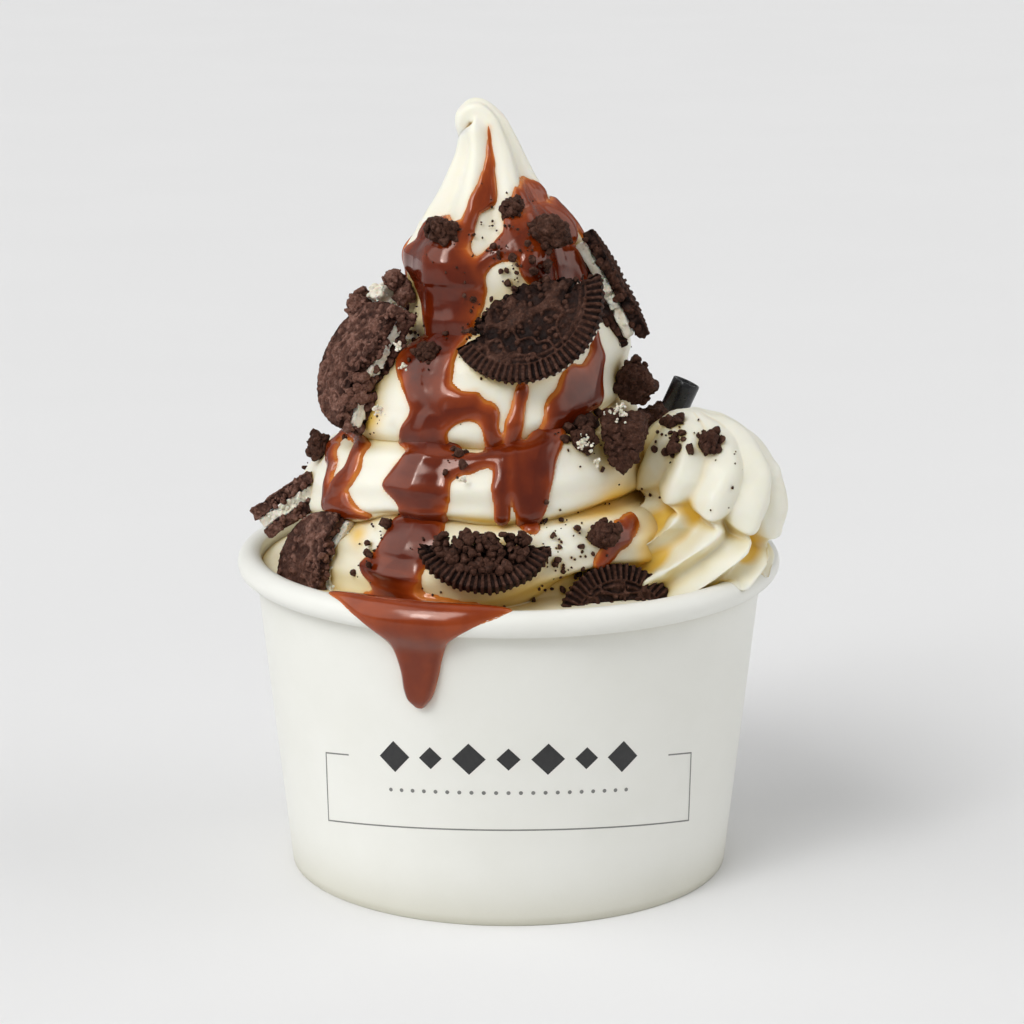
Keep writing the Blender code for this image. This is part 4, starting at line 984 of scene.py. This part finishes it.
def make_cookie(name, centre, azimuth, elevation, roll, radius, cut, bulge, layers, seed):
    turn = facing(azimuth, elevation, roll)
    rng = np.random.default_rng(seed)
    high = 0
    cols = 480 if radius > 12.5 else 330
    form = "wrinkled" if name in WRINKLED else "wafer"
    rough = SMOOTHER.get(name, 1)
    for k, kind in enumerate(layers):
        low = high - DEPTHS[kind]
        if kind in "fd":
            shape = (radius - (0.3 if name in FLUSH else 1.3), cut - 0.3, bulge, rough)
            foot, top = low - 2 * LAYER_GAP + 0.02, high + LAYER_GAP
            grid, groove = biscuit(shape, foot, top, "filling", seed + k, 220, 12)
            mat, slot, label = "filling", "cookie_filling", name + "_filling"
            chips = break_chips(shape, low + 0.3, high - 0.3, seed + k, 14, 0.9)
        else:
            shape = (radius, cut, bulge, rough)
            grid, groove = biscuit(shape, low, high, form, seed + k, cols, 64 if k == 0 else 16)
            # Partly painted light: the wrinkled cookies get the lighter copy of the wafer paint.
            mat, slot, label = "dusty_and_lit" if form == "wrinkled" else "wafer", "cocoa_wafer", name
            chips = break_chips(shape, low, high - 0.3, seed + k, 40, 1.1)
            if kind == "r":
                chips += rubble_chips(radius, cut, 170, rng)
            if name in COVERED and k == 0:
                chips += break_chips(shape, low - 4, high - 0.5, seed + 50, 260, 1.7)
            if len(layers) > 1:
                label = name + "_wafer_" + "ab"[k // 2]
        points, quads, tris = capped(grid)
        loose, faces = joined(chips)
        faces = [tris[:, ::-1], faces + len(points)]
        points = [np.concatenate([points, loose]) @ turn.T + np.array(centre)]
        for number, (layer, spot, sizes) in enumerate(CLODS):
            if layer == label:
                clod, more = rounded_lump(spot, sizes, 500 + number, 24)
                faces.append(more + sum(len(part) for part in points))
                points.append(clod)
        points = np.concatenate(points)
        depth = np.pad(groove.ravel(), (0, len(points) - groove.size))
        look = add_mesh(label + "_look", points, quads[:, ::-1], mat, np.concatenate(faces), groove=depth)
        ride(look, slot, label)
        high = low - LAYER_GAP


# ---------------- lumps and crumbs
BALLS = {}


def ball(detail):
    """Points and triangles of a unit ball."""
    if detail not in BALLS:
        bm = bmesh.new()
        bmesh.ops.create_icosphere(bm, subdivisions=detail, radius=1)
        faces = [[v.index for v in f.verts] for f in bm.faces]
        BALLS[detail] = np.array([v.co for v in bm.verts]), np.array(faces)
        bm.free()
    return BALLS[detail]


def any_turn(rng):
    """A random rotation matrix."""
    return np.array(Quaternion(rng.normal(size=4)).normalized().to_matrix())


def broken_ball(rng, detail, cuts, nearest):
    """A unit ball cut by random planes."""
    p, tris = ball(detail)
    dirs = rng.normal(size=(cuts, 3))
    dirs /= np.linalg.norm(dirs, axis=1)[:, None]
    far = rng.uniform(nearest, 1, cuts)
    along = p @ dirs.T
    reach = np.min(np.where(along > 0.05, far / np.maximum(along, 0.05), 9), axis=1)
    return p * np.minimum(reach, 1.05)[:, None], tris


def chip(rng, centre, size, detail=2):
    """A small crumb: points and triangles."""
    p, tris = broken_ball(rng, detail, 9, 0.5)
    p = p * (1 + 0.12 * noise(p * 2.3 + rng.uniform(0, 40, 3), 3))[:, None]
    return (p * size * rng.uniform(0.75, 1.25, 3)) @ any_turn(rng).T + np.array(centre), tris


def hull_planes(corners):
    """Outward unit normals and distances from the origin of the faces of a convex hull."""
    bm = bmesh.new()
    for corner in corners:
        bm.verts.new(corner)
    bmesh.ops.convex_hull(bm, input=bm.verts)
    bm.normal_update()
    planes = np.array([(*f.normal, f.normal.dot(f.verts[0].co)) for f in bm.faces])
    bm.free()
    return planes[:, :3] * np.sign(planes[:, 3:]), np.abs(planes[:, 3])


def lump(p, tris, size, rng, seed, chips):
    """A broken piece of cookie: roughens its points and lets crumbs cling to them."""
    n = p / np.linalg.norm(p, axis=1)[:, None]
    spot = p + 31 * seed
    bump = 0.6 * (0.5 - cells(spot / 1.5, seed)) + 0.35 * fbm(spot, 3, seed + 1)
    bump = bump + 0.35 * size / 4 * fbm(spot / 2.6, 2, seed + 2)
    p = p + n * (bump - 0.15)[:, None] * min(1, size / 3.4)
    parts = [(p, tris)]
    for k in rng.integers(0, len(p), chips):
        grain = 0.3 + min(1.2, 0.3 * size) * rng.random() ** 1.6
        parts.append(chip(rng, p[k] * 0.96, grain, 3))
    return joined(parts)


def rounded_lump(centre, sizes, seed, chips):
    rng = np.random.default_rng(seed)
    p, tris = broken_ball(rng, 6 if max(sizes) > 4 else 5, 14, 0.7)
    p, tris = lump(p * np.array(sizes) * 0.94, tris, float(np.mean(sizes)), rng, seed, chips)
    a, b = rng.uniform(0, 6.28), rng.uniform(-0.6, 0.6)
    turn = np.array(Matrix.Rotation(a, 3, "Z") @ Matrix.Rotation(b, 3, "X"))
    return p @ turn.T + np.array(centre), tris


def wedge():
    """The wedge-shaped lump at the right: a ball pressed into its corners' hull, its edges rounded."""
    p, tris = ball(6)
    normals, far = hull_planes(WEDGE)
    along = p @ normals.T
    reach = np.where(along > 0.02, far / np.maximum(along, 0.02), 99)
    reach = np.sum(reach ** -9, axis=1) ** (-1 / 9)
    p, tris = lump(p * (reach - 0.25)[:, None], tris, 3.4, np.random.default_rng(350), 350, 60)
    return p + np.array(WEDGE_AT), tris


def make_lumps():
    lumps = {}
    for number, (name, angle, height, lift, sizes) in enumerate(CHUNKS):
        spot, n = swirl_point(angle, height)
        lumps[name] = rounded_lump(spot + n * lift, sizes, 300 + number, 50)
    for number, (name, centre, sizes) in enumerate(PLACED_CHUNKS):
        lumps[name] = rounded_lump(centre, sizes, 350 + number, 50)
    lumps["chunk_right_big"] = wedge()
    for name, (points, tris) in lumps.items():
        ride(add_mesh(name + "_look", points, [], "wafer", tris), "cocoa_wafer", name)


# Bits of filling on the rubble: centre, spread and count
CREAM_BITS = (
    ((15.4, -31.4, 97.4), 1.5, 36), ((17.8, -31.6, 94), 0.7, 12), ((22, -29, 103.4), 2, 36),
    ((-26.4, -28, 103.6), 1.1, 28), ((-22.4, -26, 116.4), 0.9, 16), ((-21.4, -27, 112.4), 0.7, 12),
    ((-9, -36.6, 91.4), 0.6, 12),
)


def make_cream_bits():
    rng = np.random.default_rng(61)
    parts = []
    for centre, spread, count in CREAM_BITS:
        for _ in range(count):
            spot = np.array(centre) + rng.normal(0, spread * 0.5, 3)
            parts.append(chip(rng, spot, rng.uniform(0.15, 0.45)))
    points, tris = joined(parts)
    ride(add_mesh("filling_bits", points, [], "filling", tris, smooth=False), "cookie_filling")


# Crumb patches: angle, height, spread (mm), count, largest half size
CRUMBS = (
    (-92, 138, 9, 26, 0.55), (-118, 131, 7, 16, 0.5), (-70, 129, 6, 46, 1.3), (-82, 133, 5, 20, 0.8),
    (-103, 122, 6, 16, 0.7), (-100, 111, 5, 14, 0.6), (-124, 111, 4, 12, 0.8), (-60, 96, 6, 12, 0.6),
    (-66, 78, 7, 46, 0.9), (-75, 74, 8, 34, 0.8), (-104, 72, 6, 16, 0.8), (-123, 77, 3, 10, 1.4),
    (-100, 92, 3, 9, 1.5), (-40, 84, 6, 8, 0.5), (-140, 101, 5, 8, 0.5), (-130, 73, 5, 14, 1.1),
    (-51, 98.5, 5, 60, 1.9), (-55, 95, 3, 16, 1.2), (-165, 94, 4, 8, 0.8), (20, 104, 9, 30, 0.9),
    (60, 92, 14, 30, 0.8), (95, 118, 10, 26, 0.8), (140, 100, 12, 30, 0.9), (160, 84, 14, 24, 0.8),
    (110, 78, 14, 26, 0.9), (30, 78, 12, 24, 0.8), (-150, 118, 7, 12, 0.6),
)
CREAM_CRUMBS = (
    (-120, 98.4, 4, 24, 1.7), (-130, 95.5, 5, 26, 1.5), (-95, 97, 6, 14, 0.6), (-70, 92, 8, 10, 0.4),
    (-150, 84, 7, 10, 0.5),
)
CREAM_MIDDLE = (40, -13, 82)


def make_crumbs():
    rng = np.random.default_rng(77)
    parts = []
    for patches, on_cream in ((CRUMBS, False), (CREAM_CRUMBS, True)):
        for angle, height, spread, count, largest in patches:
            radius = 16 if on_cream else curve(height, SWIRL, 3)
            for _ in range(count):
                u, v = rng.normal(0, spread * 0.5, 2)
                a = angle + np.degrees(u / radius)
                t = np.clip(height + v, 67.5, 99.5 if on_cream else 158)
                size = 0.22 + (largest - 0.22) * rng.random() ** 2.6
                if on_cream:
                    p = rosette(np.array([a]), np.array([t]))[0][0]
                    n = p - np.array(CREAM_MIDDLE)
                    n = n / np.linalg.norm(n)
                else:
                    p, n = swirl_point(a, t)
                    inside = sauce_inside(np.array([a]), np.array([t]))
                    p = p + n * (ease(inside / 1.5) + 0.3)
                parts.append(chip(rng, p + n * size * 0.4, size, 2 if size > 0.5 else 1))
    points, tris = joined(parts)
    ride(add_mesh("crumbs", points, [], "wafer", tris, smooth=False), "cocoa_wafer")


# Softboxes: azimuth, elevation and half angle in degrees, brightness above the even light
SOFTBOXES = (
    (-165, 36, 30, 1.3), (-125, 45, 13, 6.4), (-5, 30, 25, 1.3), (60, 72, 26, 0.35),
)
SOFT_EDGE, AMBIENT = 4, 0.345      # half width of the boxes' soft edge in degrees, and the even light
FLOOR_HALF = 3000      # half the floor's side, in mm
# A small lamp for the sparkle on the sauce, in metres and watts
LAMP_AT, LAMP_AIM, LAMP_SIZE, LAMP_POWER = (-0.9, -1.1, 1.1), (0, 0, 0.1), 0.25, 2
# Camera: place in metres, degrees it looks down, lens and sensor in mm
CAMERA_AT, CAMERA_DOWN, CAMERA_LENS, CAMERA_SENSOR = (0.0007, -0.6912, 0.2412), 13.46, 117.67, 36


def make_floor():
    half = FLOOR_HALF
    corners = [(-half, -half, 0), (half, -half, 0), (half, half, 0), (-half, half, 0)]
    floor = add_mesh("floor", corners, [(0, 1, 2, 3)], "floor", smooth=False)


def make_studio():
    """Even light with soft boxes in it, and the lamp."""
    world = bpy.data.worlds.new("studio")
    bpy.context.scene.world = world
    world.use_nodes = True
    tree = world.node_tree
    way = add_node(tree, "ShaderNodeTexCoord").outputs["Generated"]
    total = AMBIENT
    for azimuth, elevation, half_angle, level in SOFTBOXES:
        dot = add_node(tree, "ShaderNodeVectorMath", way, direction(azimuth, elevation))
        dot.operation = "DOT_PRODUCT"
        outer, inner = np.cos(np.radians([half_angle + SOFT_EDGE, half_angle - SOFT_EDGE]))
        glow = add_node(tree, "ShaderNodeMapRange", dot.outputs["Value"], outer, inner, 0, level)
        glow.interpolation_type = "SMOOTHSTEP"
        total = add_node(tree, "ShaderNodeMath", total, glow.outputs["Result"]).outputs[0]
    tree.links.new(total, tree.nodes["Background"].inputs["Color"])

    data = bpy.data.lights.new("sparkle", "AREA")
    data.shape, data.size, data.energy = "SQUARE", LAMP_SIZE, LAMP_POWER
    lamp = bpy.data.objects.new("sparkle", data)
    lamp.location = LAMP_AT
    lamp.rotation_euler = (Vector(LAMP_AIM) - lamp.location).to_track_quat("-Z", "Y").to_euler()
    bpy.context.scene.collection.objects.link(lamp)


def make_camera():
    data = bpy.data.cameras.new("camera")
    data.lens, data.sensor_width = CAMERA_LENS, CAMERA_SENSOR
    data.clip_start = 0.01
    cam = bpy.data.objects.new("camera", data)
    cam.location = CAMERA_AT
    cam.rotation_euler = (np.radians(90 - CAMERA_DOWN), 0, 0)
    bpy.context.scene.collection.objects.link(cam)
    bpy.context.scene.camera = cam


make_camera()
make_floor()
make_studio()
make_cup()
make_print()
make_ice_cream()
make_sauce()
make_spill()
make_whipped()
make_straw()
for order, cookie in enumerate(COOKIES):
    make_cookie(*cookie, 40 + 7 * order)
make_lumps()
make_cream_bits()
make_crumbs()

bpy.context.scene.view_settings.view_transform = "Standard"
